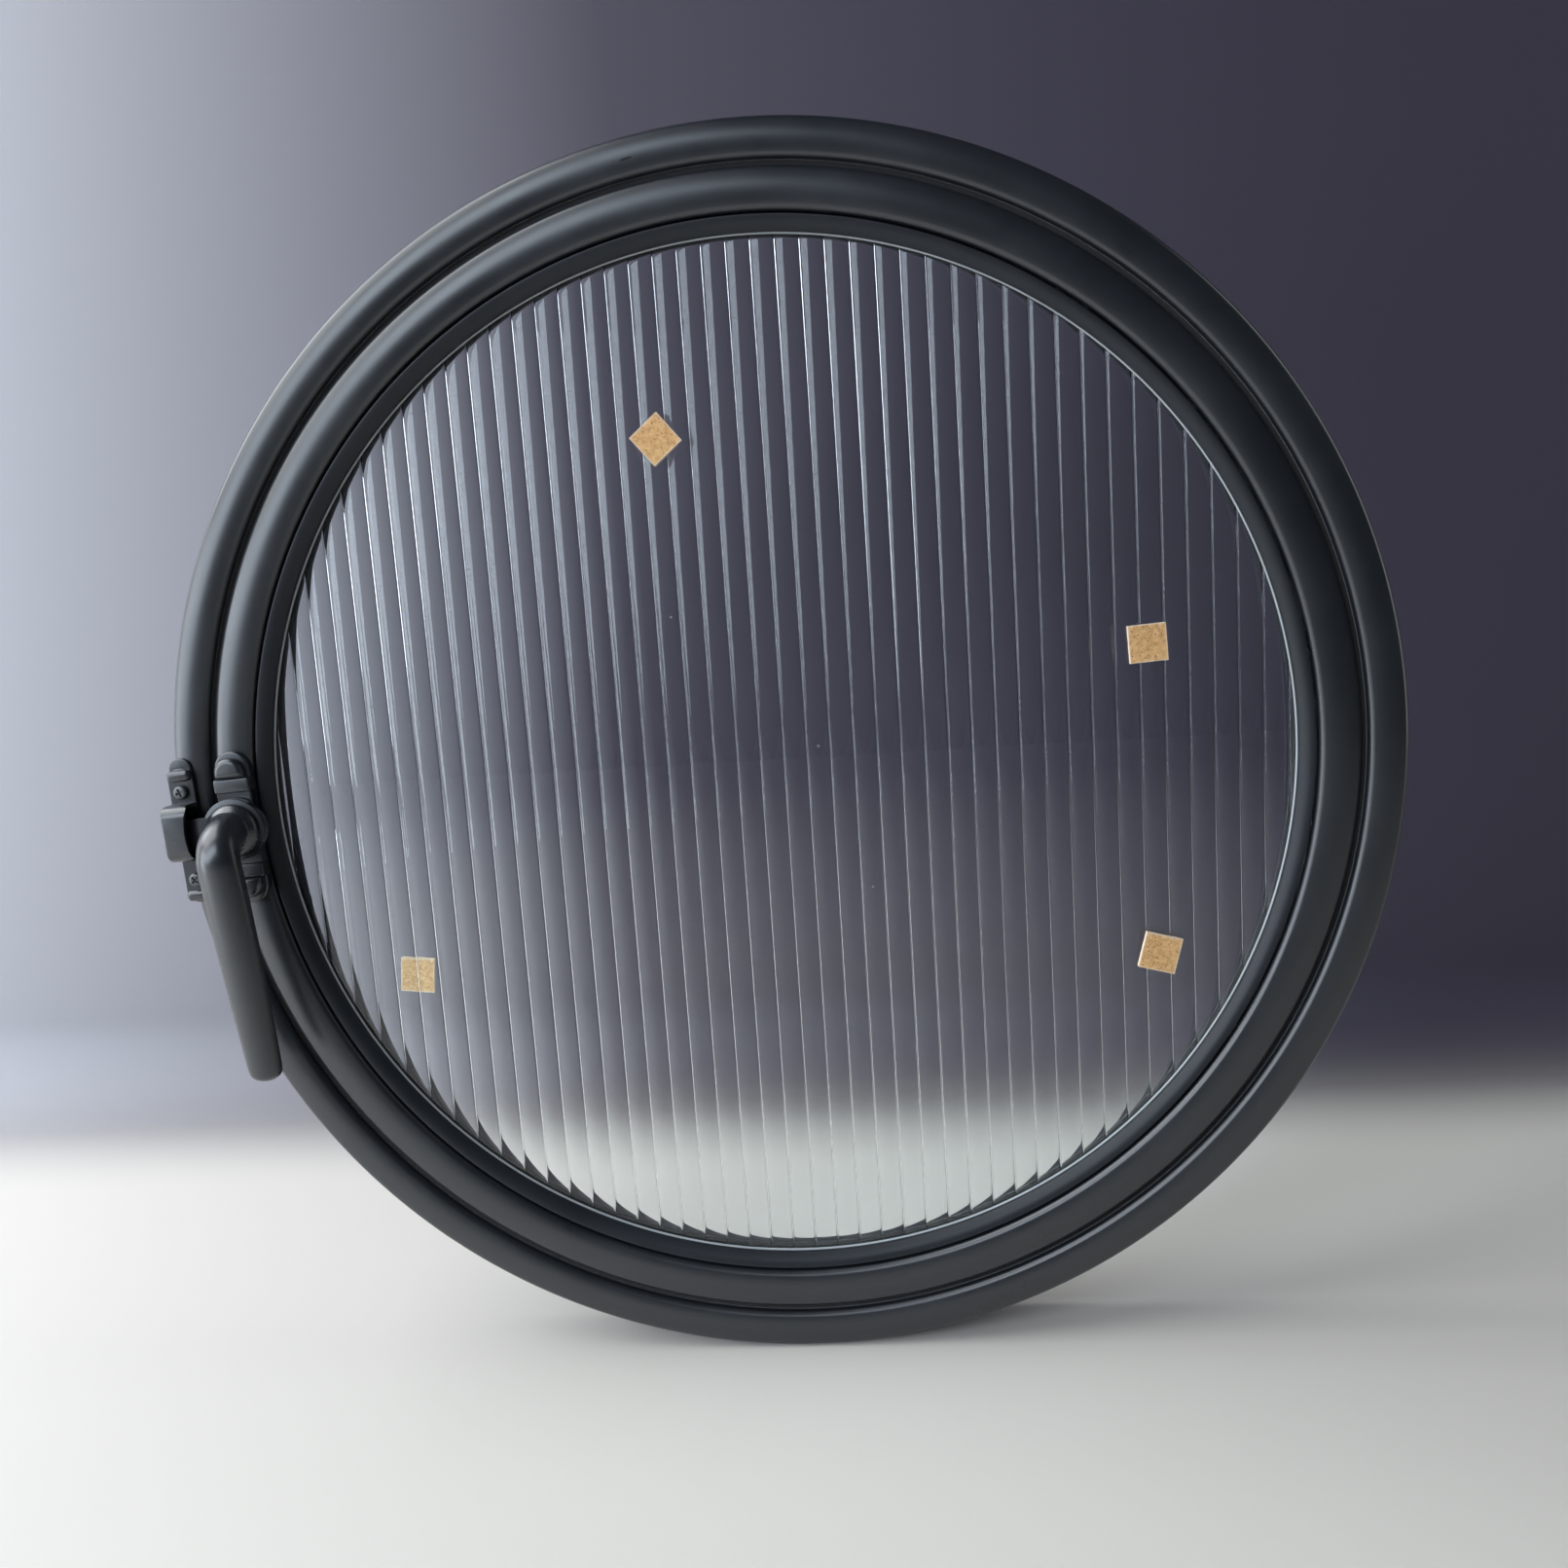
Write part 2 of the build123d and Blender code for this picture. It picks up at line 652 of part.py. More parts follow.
# Lever: a collar on the tongue, a neck that bends over an elbow, and a tapering grip
lever_foot = tongue_top
elbow_start = crown_top + elbow_height - elbow_radius
full_turn = 90 + grip_slope
elbow_end_along = elbow_radius * (1 - cos(radians(full_turn)))
elbow_end_height = elbow_start + elbow_radius * sin(radians(full_turn))


def lever_section(along, height, turn, half_width, half_thickness):
    # An oval across the lever's line, where the line has turned this far from the hub's axis.
    across = hub_radius_on_ring - along * sin(radians(grip_lean))
    place = latch.from_local_coords(Vector(across, along, height))
    heading = latch.z_dir * cos(radians(turn)) + latch.y_dir * sin(radians(turn))
    with BuildSketch(Plane(origin=place, x_dir=latch.x_dir, z_dir=heading)) as section:
        Ellipse(half_width, half_thickness)
    return section.sketch


def grip_section(run, half_width, half_thickness):
    # The same, at a run along the straight grip.
    along = elbow_end_along + run * sin(radians(full_turn))
    height = elbow_end_height + run * cos(radians(full_turn))
    return lever_section(along, height, full_turn, half_width, half_thickness)


with BuildPart() as lever:
    with BuildSketch(latch.offset(lever_foot)):
        with Locations(hub):
            Circle(collar_radius)
    extrude(amount=collar_height)
    fillet(lever.faces().sort_by(Axis.Y)[0].edges(), collar_edge_radius)
    add(lever_section(0, lever_foot + collar_height / 2, 0, *neck_half_size))
    add(lever_section(0, elbow_start, 0, *elbow_half_sizes[0]))
    loft()
    elbow_steps = len(elbow_half_sizes) - 1
    for step, half_size in enumerate(elbow_half_sizes):
        turn = full_turn * step / elbow_steps
        along = elbow_radius * (1 - cos(radians(turn)))
        height = elbow_start + elbow_radius * sin(radians(turn))
        add(lever_section(along, height, turn, *half_size))
    loft()
    add(grip_section(0, *elbow_half_sizes[-1]))
    for share, half_size in grip_half_sizes.items():
        add(grip_section(share * grip_length, *half_size))
    loft()
    # the rounded tip, as sections of half an ellipsoid
    tip_half_width, tip_half_thickness = grip_half_sizes[1.0]
    for latitude in (0, 25, 45, 62, 76):
        run = grip_length + grip_tip_length * sin(radians(latitude))
        shrink = cos(radians(latitude))
        add(grip_section(run, tip_half_width * shrink, tip_half_thickness * shrink))
    loft()
    with BuildSketch(latch.offset(lever_foot)):
        with Locations(hub):
            Circle(spindle_radius + fit_gap / 2)
    extrude(amount=spindle_foot + spindle_length + fit_gap - lever_foot, mode=Mode.SUBTRACT)
write(lever, "lever")

# Transit pads
for pads, face, side in ((room_side_pads, glass_front, -1), (outdoor_side_pads, glass_back, 1)):
    for name, (angle, inset, turn) in pads.items():
        across = (glass_radius - inset) * cos(radians(angle))
        up = (glass_radius - inset) * sin(radians(angle))
        with BuildPart() as pad:
            with BuildSketch(Plane((across, face, up), x_dir=(1, 0, 0), z_dir=(0, side, 0))):
                Rectangle(pad_side, pad_side, rotation=-side * turn)
            extrude(amount=pad_thickness)
        write(pad, name)
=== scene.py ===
import math

import bmesh
import bpy
from mathutils import Matrix, Vector, noise


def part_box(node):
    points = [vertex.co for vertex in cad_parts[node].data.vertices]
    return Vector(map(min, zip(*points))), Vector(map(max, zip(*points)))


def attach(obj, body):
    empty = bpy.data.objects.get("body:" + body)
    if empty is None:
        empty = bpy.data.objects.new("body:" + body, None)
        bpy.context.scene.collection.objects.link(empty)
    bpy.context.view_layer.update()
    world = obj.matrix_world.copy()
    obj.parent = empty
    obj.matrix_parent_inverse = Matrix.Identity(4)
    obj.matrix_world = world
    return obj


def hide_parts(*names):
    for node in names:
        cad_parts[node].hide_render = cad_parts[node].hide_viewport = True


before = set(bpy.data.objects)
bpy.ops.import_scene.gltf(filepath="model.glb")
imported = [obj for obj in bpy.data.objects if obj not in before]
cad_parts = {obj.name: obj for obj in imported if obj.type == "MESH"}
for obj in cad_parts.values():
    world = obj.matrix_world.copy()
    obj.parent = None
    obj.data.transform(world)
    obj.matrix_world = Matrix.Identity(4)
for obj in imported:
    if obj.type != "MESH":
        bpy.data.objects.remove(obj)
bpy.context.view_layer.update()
print("frame loaded")

# Pieces are modelled in millimetres in the frame's own axes (+X right, +Y outdoors, +Z up) and
# brought to metres when they are finished
millimetre = 0.001
fullTurn = 2 * math.pi
scene = bpy.context.scene


def nodeRadius(node):
    low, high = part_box(node)
    return (high.x - low.x) / 2 / millimetre


def nodeDepths(node):
    low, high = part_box(node)
    return low.y / millimetre, high.y / millimetre


frameOuter = nodeRadius("frame_ring")
sashOuter = nodeRadius("sash_ring")
roomFace, outdoorFace = nodeDepths("frame_ring")
glassFront, glassBack = nodeDepths("glass_pane")
glassRadius = nodeRadius("glass_pane")
crownTop = -roomFace

# The latch's own axes: x outwards along the radius through the hub, y down along the rings and
# z into the room, with heights measured from the middle of the rings' depth
latch = {"angle": 182.6, "hubAcross": 266.5}  # round the ring from +X, and from its centre
latchTurn = math.radians(latch["angle"])
outwards = Vector((math.cos(latchTurn), 0, math.sin(latchTurn)))
downRing = Vector((-math.sin(latchTurn), 0, math.cos(latchTurn)))
intoRoom = Vector((0, -1, 0))
latchPlace = Matrix((outwards, downRing, intoRoom)).transposed().to_4x4()
hubPlace = latchPlace @ Matrix.Translation((latch["hubAcross"], 0, 0))
# for a shape drawn along the rings and up, and run across
sidePlace = latchPlace @ Matrix(((0, 0, 1), (1, 0, 0), (0, 1, 0))).to_4x4()


# Shared mesh steps
shaping = {
    "spunMerge": 0.0005,  # how near two points become one
    "outlineMerge": 0.05,
    "cornerSteps": 9,
    "softenAbove": 60,
}


def solidFrom(bm, name):
    # a plain object in millimetres, still to be cut, softened or finished
    mesh = bpy.data.meshes.new(name)
    bm.to_mesh(mesh)
    bm.free()
    solid = bpy.data.objects.new(name, mesh)
    scene.collection.objects.link(solid)
    return solid


def settle(solid):
    # apply what the modifiers make
    depsgraph = bpy.context.evaluated_depsgraph_get()
    made = bpy.data.meshes.new_from_object(solid.evaluated_get(depsgraph))
    solid.modifiers.clear()
    solid.data = made


def combine(solid, others, operation):
    for other in others:
        step = solid.modifiers.new("combine", "BOOLEAN")
        step.operation = operation
        step.solver = "EXACT"
        step.object = other
    settle(solid)
    for other in others:
        bpy.data.objects.remove(other)


def soften(solid, width, segments):
    step = solid.modifiers.new("soften", "BEVEL")
    step.width = width
    step.segments = segments
    step.limit_method = "ANGLE"
    step.angle_limit = math.radians(shaping["softenAbove"])
    settle(solid)


def finishPiece(solid, body, finish, nodes, sharpAbove):
    # to metres, faces smooth apart from its sharp edges, then onto its body
    bm = bmesh.new()
    bm.from_mesh(solid.data)
    bmesh.ops.transform(bm, matrix=Matrix.Scale(millimetre, 4), verts=bm.verts[:])
    for face in bm.faces:
        face.smooth = True
    for edge in bm.edges:
        edge.smooth = len(edge.link_faces) != 2 or edge.calc_face_angle() < math.radians(sharpAbove)
    bm.to_mesh(solid.data)
    bm.free()
    solid.data.materials.clear()
    solid.data.materials.append(finish)
    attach(solid, body)
    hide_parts(*nodes)
    return solid


def roundCorner(bm, corner, rounding, segments=5):
    # the corner is found by its place, since each bevel makes the outline's points anew
    place = Vector((corner[0], corner[1], 0))
    nearest = min(bm.verts, key=lambda vert: (vert.co - place).length)
    bmesh.ops.bevel(bm, geom=[nearest], offset=rounding, segments=segments, affect="VERTICES",
                    profile=0.5, material=-1)


def outlineFace(bm, corners):
    # each corner is (radius, depth, rounding)
    verts = [bm.verts.new((across, depth, 0)) for across, depth, rounding in corners]
    bm.faces.new(verts)
    for corner in corners:
        if corner[2]:
            roundCorner(bm, corner, corner[2])


def spinOutline(bm, steps):
    bmesh.ops.delete(bm, geom=bm.faces[:], context="FACES_ONLY")
    bmesh.ops.spin(bm, geom=bm.verts[:] + bm.edges[:], cent=(0, 0, 0), axis=(0, 1, 0),
                   angle=fullTurn, steps=steps, use_merge=True)
    bmesh.ops.remove_doubles(bm, verts=bm.verts[:], dist=shaping["spunMerge"])
    bmesh.ops.recalc_face_normals(bm, faces=bm.faces[:])


def vertsOf(elements):
    return [element for element in elements if isinstance(element, bmesh.types.BMVert)]


def raiseFaces(bm, height):
    # flat faces become a solid
    run = bmesh.ops.extrude_face_region(bm, geom=bm.faces[:])
    bmesh.ops.translate(bm, vec=(0, 0, height), verts=vertsOf(run["geom"]))


def cylinder(name, radius, low, high, place=Matrix(), steps=64):
    # along its own z, from low to high
    bm = bmesh.new()
    bmesh.ops.create_cone(bm, cap_ends=True, segments=steps, radius1=radius, radius2=radius,
                          depth=high - low)
    bmesh.ops.translate(bm, vec=(0, 0, (low + high) / 2), verts=bm.verts[:])
    bmesh.ops.transform(bm, matrix=place, verts=bm.verts[:])
    return solidFrom(bm, name)


def prism(name, corners, low, high, place, topRim=0.0, segments=5):
    # corners are (x, y, rounding) in the plane across its run from low to high
    bm = bmesh.new()
    bm.faces.new([bm.verts.new((x, y, 0)) for x, y, rounding in corners])
    for corner in corners:
        if corner[2]:
            roundCorner(bm, corner, corner[2], shaping["cornerSteps"])
    bmesh.ops.remove_doubles(bm, verts=bm.verts[:], dist=shaping["outlineMerge"])
    bmesh.ops.translate(bm, vec=(0, 0, low), verts=bm.verts[:])
    raiseFaces(bm, high - low)
    if topRim:
        rim = [edge for edge in bm.edges if all(vert.co.z > high - 0.001 for vert in edge.verts)]
        bmesh.ops.bevel(bm, geom=rim, offset=topRim, segments=segments, affect="EDGES", profile=0.5,
                        material=-1)
    bmesh.ops.recalc_face_normals(bm, faces=bm.faces[:])
    bmesh.ops.transform(bm, matrix=place, verts=bm.verts[:])
    return solidFrom(bm, name)


def rectangle(across, along, rounding):
    return [(across[0], along[0], rounding), (across[1], along[0], rounding),
            (across[1], along[1], rounding), (across[0], along[1], rounding)]


# Shared shader groups

def newGroup(name, inputs, outputs):
    group = bpy.data.node_groups.new(name, "ShaderNodeTree")
    for socketName, kind, value in inputs:
        socket = group.interface.new_socket(name=socketName, in_out="INPUT", socket_type=kind)
        if value is not None:
            socket.default_value = value
    for socketName, kind in outputs:
        group.interface.new_socket(name=socketName, in_out="OUTPUT", socket_type=kind)
    return group, addNode(group, "NodeGroupInput"), addNode(group, "NodeGroupOutput")


def addNode(tree, kind, **settings):
    node = tree.nodes.new(kind)
    for key, value in settings.items():
        setattr(node, key, value)
    return node


def setInputs(node, values):
    for key, value in values.items():
        node.inputs[key].default_value = value
    return node


def calculate(tree, operation, first, second):
    node = addNode(tree, "ShaderNodeMath", operation=operation)
    tree.links.new(first, node.inputs[0])
    tree.links.new(second, node.inputs[1])
    return node.outputs["Value"]


def makeGrainGroup():
    # fine texture for bump, and a slow drift for roughness and tone
    group, given, result = newGroup(
        "coatingGrain",
        [("Where", "NodeSocketVector", None), ("Fineness", "NodeSocketFloat", 900.0),
         ("Drift", "NodeSocketFloat", 30.0)],
        [("Height", "NodeSocketFloat"), ("Variation", "NodeSocketFloat")])
    fine = setInputs(addNode(group, "ShaderNodeTexNoise"), {"Detail": 3.0, "Roughness": 0.6})
    slow = setInputs(addNode(group, "ShaderNodeTexNoise"), {"Detail": 4.0, "Roughness": 0.55})
    links = group.links
    for texture, scale in ((fine, "Fineness"), (slow, "Drift")):
        links.new(given.outputs["Where"], texture.inputs["Vector"])
        links.new(given.outputs[scale], texture.inputs["Scale"])
    links.new(fine.outputs["Fac"], result.inputs["Height"])
    links.new(slow.outputs["Fac"], result.inputs["Variation"])
    return group


def makeSpeckGroup():
    # sparse round specks: dust, sawdust, flaws
    group, given, result = newGroup(
        "looseSpecks",
        [("Where", "NodeSocketVector", None), ("PerMetre", "NodeSocketFloat", 120.0),
         ("Size", "NodeSocketFloat", 0.05), ("Share", "NodeSocketFloat", 0.08)],
        [("Mask", "NodeSocketFloat")])
    cells = addNode(group, "ShaderNodeTexVoronoi")
    parts = addNode(group, "ShaderNodeSeparateColor")
    links = group.links
    links.new(given.outputs["Where"], cells.inputs["Vector"])
    links.new(given.outputs["PerMetre"], cells.inputs["Scale"])
    links.new(cells.outputs["Color"], parts.inputs["Color"])
    reach = calculate(group, "MULTIPLY", given.outputs["Size"], parts.outputs["Green"])
    near = calculate(group, "LESS_THAN", cells.outputs["Distance"], reach)
    picked = calculate(group, "LESS_THAN", parts.outputs["Red"], given.outputs["Share"])
    links.new(calculate(group, "MULTIPLY", near, picked), result.inputs["Mask"])
    return group


grainGroup = makeGrainGroup()
speckGroup = makeSpeckGroup()


def newFinish(name):
    finish = bpy.data.materials.new(name)
    finish.use_nodes = True
    tree = finish.node_tree
    shader = tree.nodes["Principled BSDF"]
    where = addNode(tree, "ShaderNodeTexCoord")
    return finish, tree, shader, where.outputs["Object"]


def useGroup(tree, group, where, values):
    node = addNode(tree, "ShaderNodeGroup")
    node.node_tree = group
    tree.links.new(where, node.inputs["Where"])
    return setInputs(node, values)


def blendColours(tree, factor, first, second):
    # first and second are a colour or an output; this node's colours are its inputs 6 and 7
    mix = addNode(tree, "ShaderNodeMix", data_type="RGBA")
    tree.links.new(factor, mix.inputs["Factor"])
    for socket, value in ((mix.inputs[6], first), (mix.inputs[7], second)):
        if isinstance(value, bpy.types.NodeSocket):
            tree.links.new(value, socket)
        else:
            socket.default_value = (*value, 1)
    return mix.outputs[2]


def mixShaders(tree, factor, first, second):
    mix = addNode(tree, "ShaderNodeMixShader")
    tree.links.new(factor, mix.inputs[0])
    tree.links.new(first.outputs["BSDF"], mix.inputs[1])
    tree.links.new(second.outputs["BSDF"], mix.inputs[2])
    tree.links.new(mix.outputs["Shader"], tree.nodes["Material Output"].inputs["Surface"])


def spread(tree, value, low, high, fromLow=0.3, fromHigh=0.7):
    # a noise's usual range, or another, brought to low and high
    ramp = setInputs(addNode(tree, "ShaderNodeMapRange"),
                     {"From Min": fromLow, "From Max": fromHigh, "To Min": low, "To Max": high})
    tree.links.new(value, ramp.inputs["Value"])
    return ramp.outputs["Result"]


def addBump(tree, shader, height, distance, strength):
    bump = setInputs(addNode(tree, "ShaderNodeBump"), {"Strength": strength, "Distance": distance})
    tree.links.new(height, bump.inputs["Height"])
    tree.links.new(bump.outputs["Normal"], shader.inputs["Normal"])


def nickMask(tree, where, nick):
    # one small dull scrape along the ring, at its own place
    placed = addNode(tree, "ShaderNodeMapping", vector_type="TEXTURE")
    setInputs(placed, {"Location": nick["place"], "Rotation": nick["turn"], "Scale": nick["size"]})
    tree.links.new(where, placed.inputs["Vector"])
    away = addNode(tree, "ShaderNodeVectorMath", operation="LENGTH")
    tree.links.new(placed.outputs["Vector"], away.inputs[0])
    return spread(tree, away.outputs["Value"], 1, 0, *nick["fade"])


def makeCoating(name, look):
    finish, tree, shader, where = newFinish(name)
    grain = useGroup(tree, grainGroup, where, {"Fineness": look["fineness"], "Drift": look["drift"]})
    dust = useGroup(tree, speckGroup, where, look["dust"])
    tone = blendColours(tree, grain.outputs["Variation"], look["dark"], look["light"])
    dusted = blendColours(tree, dust.outputs["Mask"], tone, look["dustColour"])
    rough = spread(tree, grain.outputs["Variation"], *look["roughness"])
    if "nick" in look:
        scraped = nickMask(tree, where, look["nick"])
        dusted = blendColours(tree, scraped, dusted, look["nick"]["colour"])
        rough = calculate(tree, "MAXIMUM", rough, scraped)
    tree.links.new(dusted, shader.inputs["Base Color"])
    tree.links.new(rough, shader.inputs["Roughness"])
    addBump(tree, shader, grain.outputs["Height"], look["bump"], look["bumpStrength"])
    setInputs(shader, {"Metallic": look["metallic"], "Specular IOR Level": look["reflection"],
                       "Sheen Weight": look["sheen"]})
    return finish


ringLook = {
    "dark": (0.007, 0.009, 0.012),
    "light": (0.013, 0.016, 0.021),
    "roughness": (0.27, 0.36),
    "fineness": 1100.0,
    "drift": 22.0,
    "bump": 0.00004,
    "bumpStrength": 0.35,
    "metallic": 0.0,
    "reflection": 0.85,
    "sheen": 0.0,
    "dust": {"PerMetre": 90.0, "Size": 0.035, "Share": 0.05},
    "dustColour": (0.55, 0.56, 0.58),
}
nick = {
    "place": (-0.0465, -0.0197, 0.2852),
    "turn": (0, -0.2, 0),
    "size": (0.0044, 0.003, 0.0009),  # half its length, depth and height
    "fade": (0.6, 1),  # where it ends, as a share of its size
    "colour": (0.003, 0.004, 0.006),
}
beadLook = {**ringLook, "reflection": 0.35, "roughness": (0.38, 0.46)}
castLook = {**ringLook, "roughness": (0.24, 0.33), "fineness": 800.0,
            "bump": 0.00006, "dust": {"PerMetre": 160.0, "Size": 0.04, "Share": 0.04}}
screwLook = {**ringLook, "dark": (0.075, 0.08, 0.085), "light": (0.11, 0.115, 0.12),
             "metallic": 0.7, "roughness": (0.3, 0.45), "fineness": 2500.0, "bump": 0.00002}
steelLook = {**ringLook, "dark": (0.46, 0.45, 0.44), "light": (0.6, 0.6, 0.59),
             "metallic": 1.0, "reflection": 0.5, "roughness": (0.22, 0.36), "fineness": 3000.0,
             "bump": 0.00001, "dust": {"PerMetre": 500.0, "Size": 0.05, "Share": 0.02}}
acetalLook = {**steelLook, "dark": (0.7, 0.69, 0.64), "light": (0.78, 0.77, 0.73),
              "metallic": 0.0, "roughness": (0.42, 0.55), "dustColour": (0.2, 0.2, 0.2)}
blockLook = {**acetalLook, "dark": (0.035, 0.035, 0.036), "light": (0.055, 0.055, 0.056)}
rubberLook = {**ringLook, "dark": (0.008, 0.008, 0.009), "light": (0.016, 0.016, 0.017),
              "reflection": 0.4, "roughness": (0.62, 0.8), "fineness": 1800.0, "bump": 0.00005}
sealLook = {**rubberLook, "dark": (0.30, 0.32, 0.33), "light": (0.42, 0.44, 0.46),
            "roughness": (0.45, 0.6)}
pileLook = {**rubberLook, "dark": (0.006, 0.006, 0.007), "light": (0.03, 0.03, 0.033),
            "sheen": 0.5, "roughness": (0.8, 0.95), "fineness": 3500.0, "drift": 900.0,
            "bump": 0.0004, "bumpStrength": 0.8}

ringCoating = makeCoating("ringCoating", {**ringLook, "nick": nick})
beadCoating = makeCoating("beadCoating", beadLook)
castCoating = makeCoating("castCoating", castLook)
blackenedScrew = makeCoating("blackenedScrew", screwLook)
turnedSteel = makeCoating("turnedSteel", steelLook)
acetal = makeCoating("acetal", acetalLook)
blockPlastic = makeCoating("blockPlastic", blockLook)
blackRubber = makeCoating("blackRubber", rubberLook)
paleSeal = makeCoating("paleSeal", sealLook)
brushPile = makeCoating("brushPile", pileLook)

glassLook = {
    "tint": (0.93, 0.965, 0.96),
    "waves": (70.0, 70.0, 5.0),  # across, through and up the pane, per metre
    "waveDepth": 0.00025,
    "waveStrength": 0.25,
    "smear": (0.0, 0.02),
    "smearFrom": (0.45, 0.75),
    "drift": {"Fineness": 400.0, "Drift": 9.0},
    "dust": {"PerMetre": 45.0, "Size": 0.03, "Share": 0.12},
    "refraction": 1.52,
    "shadowTint": (0.86, 0.9, 0.89),
}


def makeGlass():
    look = glassLook
    finish, tree, shader, where = newFinish("reededGlass")
    stretched = setInputs(addNode(tree, "ShaderNodeMapping"), {"Scale": look["waves"]})
    waves = setInputs(addNode(tree, "ShaderNodeTexNoise"), {"Scale": 1.0, "Detail": 1.5})
    tree.links.new(where, stretched.inputs["Vector"])
    tree.links.new(stretched.outputs["Vector"], waves.inputs["Vector"])
    dust = useGroup(tree, speckGroup, where, look["dust"])
    drift = useGroup(tree, grainGroup, where, look["drift"])
    tree.links.new(blendColours(tree, dust.outputs["Mask"], look["tint"], (1, 1, 1)),
                   shader.inputs["Base Color"])
    smeared = spread(tree, drift.outputs["Variation"], *look["smear"], *look["smearFrom"])
    rough = calculate(tree, "MAXIMUM", smeared, dust.outputs["Mask"])
    tree.links.new(rough, shader.inputs["Roughness"])
    addBump(tree, shader, waves.outputs["Fac"], look["waveDepth"], look["waveStrength"])
    setInputs(shader, {"Transmission Weight": 1.0, "IOR": look["refraction"]})
    # light passes the pane to what lies behind it
    clear = addNode(tree, "ShaderNodeBsdfTransparent")
    setInputs(clear, {"Color": (*look["shadowTint"], 1)})
    path = addNode(tree, "ShaderNodeLightPath")
    mixShaders(tree, path.outputs["Is Shadow Ray"], shader, clear)
    return finish


corkLook = {
    "dark": (0.50, 0.27, 0.10),
    "light": (0.74, 0.45, 0.20),
    "rim": (0.86, 0.74, 0.58),
    "crumbs": {"PerMetre": 1100.0, "Size": 0.5, "Share": 0.22},
    "crumbColour": (0.33, 0.15, 0.05),
    "fleck": {"PerMetre": 1500.0, "Size": 0.5, "Share": 0.2},
    "fleckColour": (0.84, 0.63, 0.37),
    "grain": {"Fineness": 1400.0, "Drift": 500.0},
    "roughness": (0.8, 0.95),
    "bump": 0.0004,
    "bumpStrength": 0.6,
}


def makeCork():
    look = corkLook
    finish, tree, shader, where = newFinish("cork")
    grain = useGroup(tree, grainGroup, where, look["grain"])
    crumbs = useGroup(tree, speckGroup, where, look["crumbs"])
    flecks = useGroup(tree, speckGroup, where, look["fleck"])
    rim = addNode(tree, "ShaderNodeAttribute", attribute_name="rim")
    mottled = spread(tree, grain.outputs["Variation"], 0, 1)
    tone = blendColours(tree, mottled, look["dark"], look["light"])
    tone = blendColours(tree, crumbs.outputs["Mask"], tone, look["crumbColour"])
    tone = blendColours(tree, flecks.outputs["Mask"], tone, look["fleckColour"])
    tone = blendColours(tree, rim.outputs["Fac"], tone, look["rim"])
    tree.links.new(tone, shader.inputs["Base Color"])
    rough = spread(tree, grain.outputs["Variation"], *look["roughness"])
    tree.links.new(rough, shader.inputs["Roughness"])
    addBump(tree, shader, grain.outputs["Height"], look["bump"], look["bumpStrength"])
    return finish


reededGlass = makeGlass()
cork = makeCork()
print("finishes made")

# Rings: rolled hollow profiles, crowned towards the room
rings = {
    "steps": 300,
    "crownHeight": 2.2,
    "crownSteps": 7,
    "frontRounding": 2.5,
    "backRounding": 0.9,
    "backSteps": 4,
    "wall": 1.8,
    "frameWidth": 18.6,
    "sashWidth": 19.7,
    "lipWidth": 7.9,
    "lipDepths": (-1.0, 1.5),
    "lipChamfer": 0.5,
    "beadGroove": (-13.0, -11.4, 0.8),  # front, back and how deep
    "sealGroove": (12.5, 5.0, 0.8),  # middle either side, width and how deep
    "accessHole": (8.5, -4, 4),  # radius, and from where to where about the ring's outer edge
    "pivotHole": (6.05, -4, 3),  # the same about its inner edge
}
frameInner = frameOuter - rings["frameWidth"]
sashInner = sashOuter - rings["sashWidth"]
lipInner = sashInner - rings["lipWidth"]
crownFoot = roomFace + rings["crownHeight"]


def crownDrop(across, inner, outer):
    middle, half = (inner + outer) / 2, (outer - inner) / 2
    return rings["crownHeight"] * ((across - middle) / half) ** 2


def crownEdge(bm, edge, inner, outer, top):
    # subdivide the front edge and lift its points to the crown
    cut = bmesh.ops.subdivide_edges(bm, edges=[edge], cuts=rings["crownSteps"] - 1)
    for vert in vertsOf(cut["geom_inner"]):
        vert.co.y = top + crownDrop(vert.co.x, inner, outer)


def ringProfile(inner, outer, details=()):
    # details are extra points down the inner wall, from the front to the back
    bm = bmesh.new()
    points = [(outer, crownFoot), (outer, outdoorFace), (inner, outdoorFace)]
    points += [*reversed(details), (inner, crownFoot)]
    verts = [bm.verts.new((across, depth, 0)) for across, depth in points]
    bm.faces.new(verts)
    front = bm.edges.get((verts[0], verts[-1]))
    crownEdge(bm, front, inner, outer, roomFace)
    for corner in (points[0], points[-1]):
        roundCorner(bm, corner, rings["frontRounding"])
    for corner in (points[1], points[2]):
        roundCorner(bm, corner, rings["backRounding"], rings["backSteps"])
    spinOutline(bm, rings["steps"])
    return bm


def ringHollow(name, inner, outer):
    # the space between the profile's walls
    wall = rings["wall"]
    bm = bmesh.new()
    points = [(outer - wall, crownFoot + wall / 2), (outer - wall, outdoorFace - wall),
              (inner + wall, outdoorFace - wall), (inner + wall, crownFoot + wall / 2)]
    verts = [bm.verts.new((across, depth, 0)) for across, depth in points]
    bm.faces.new(verts)
    crownEdge(bm, bm.edges.get((verts[0], verts[-1])), inner, outer, roomFace + wall)
    spinOutline(bm, rings["steps"])
    return solidFrom(bm, name)


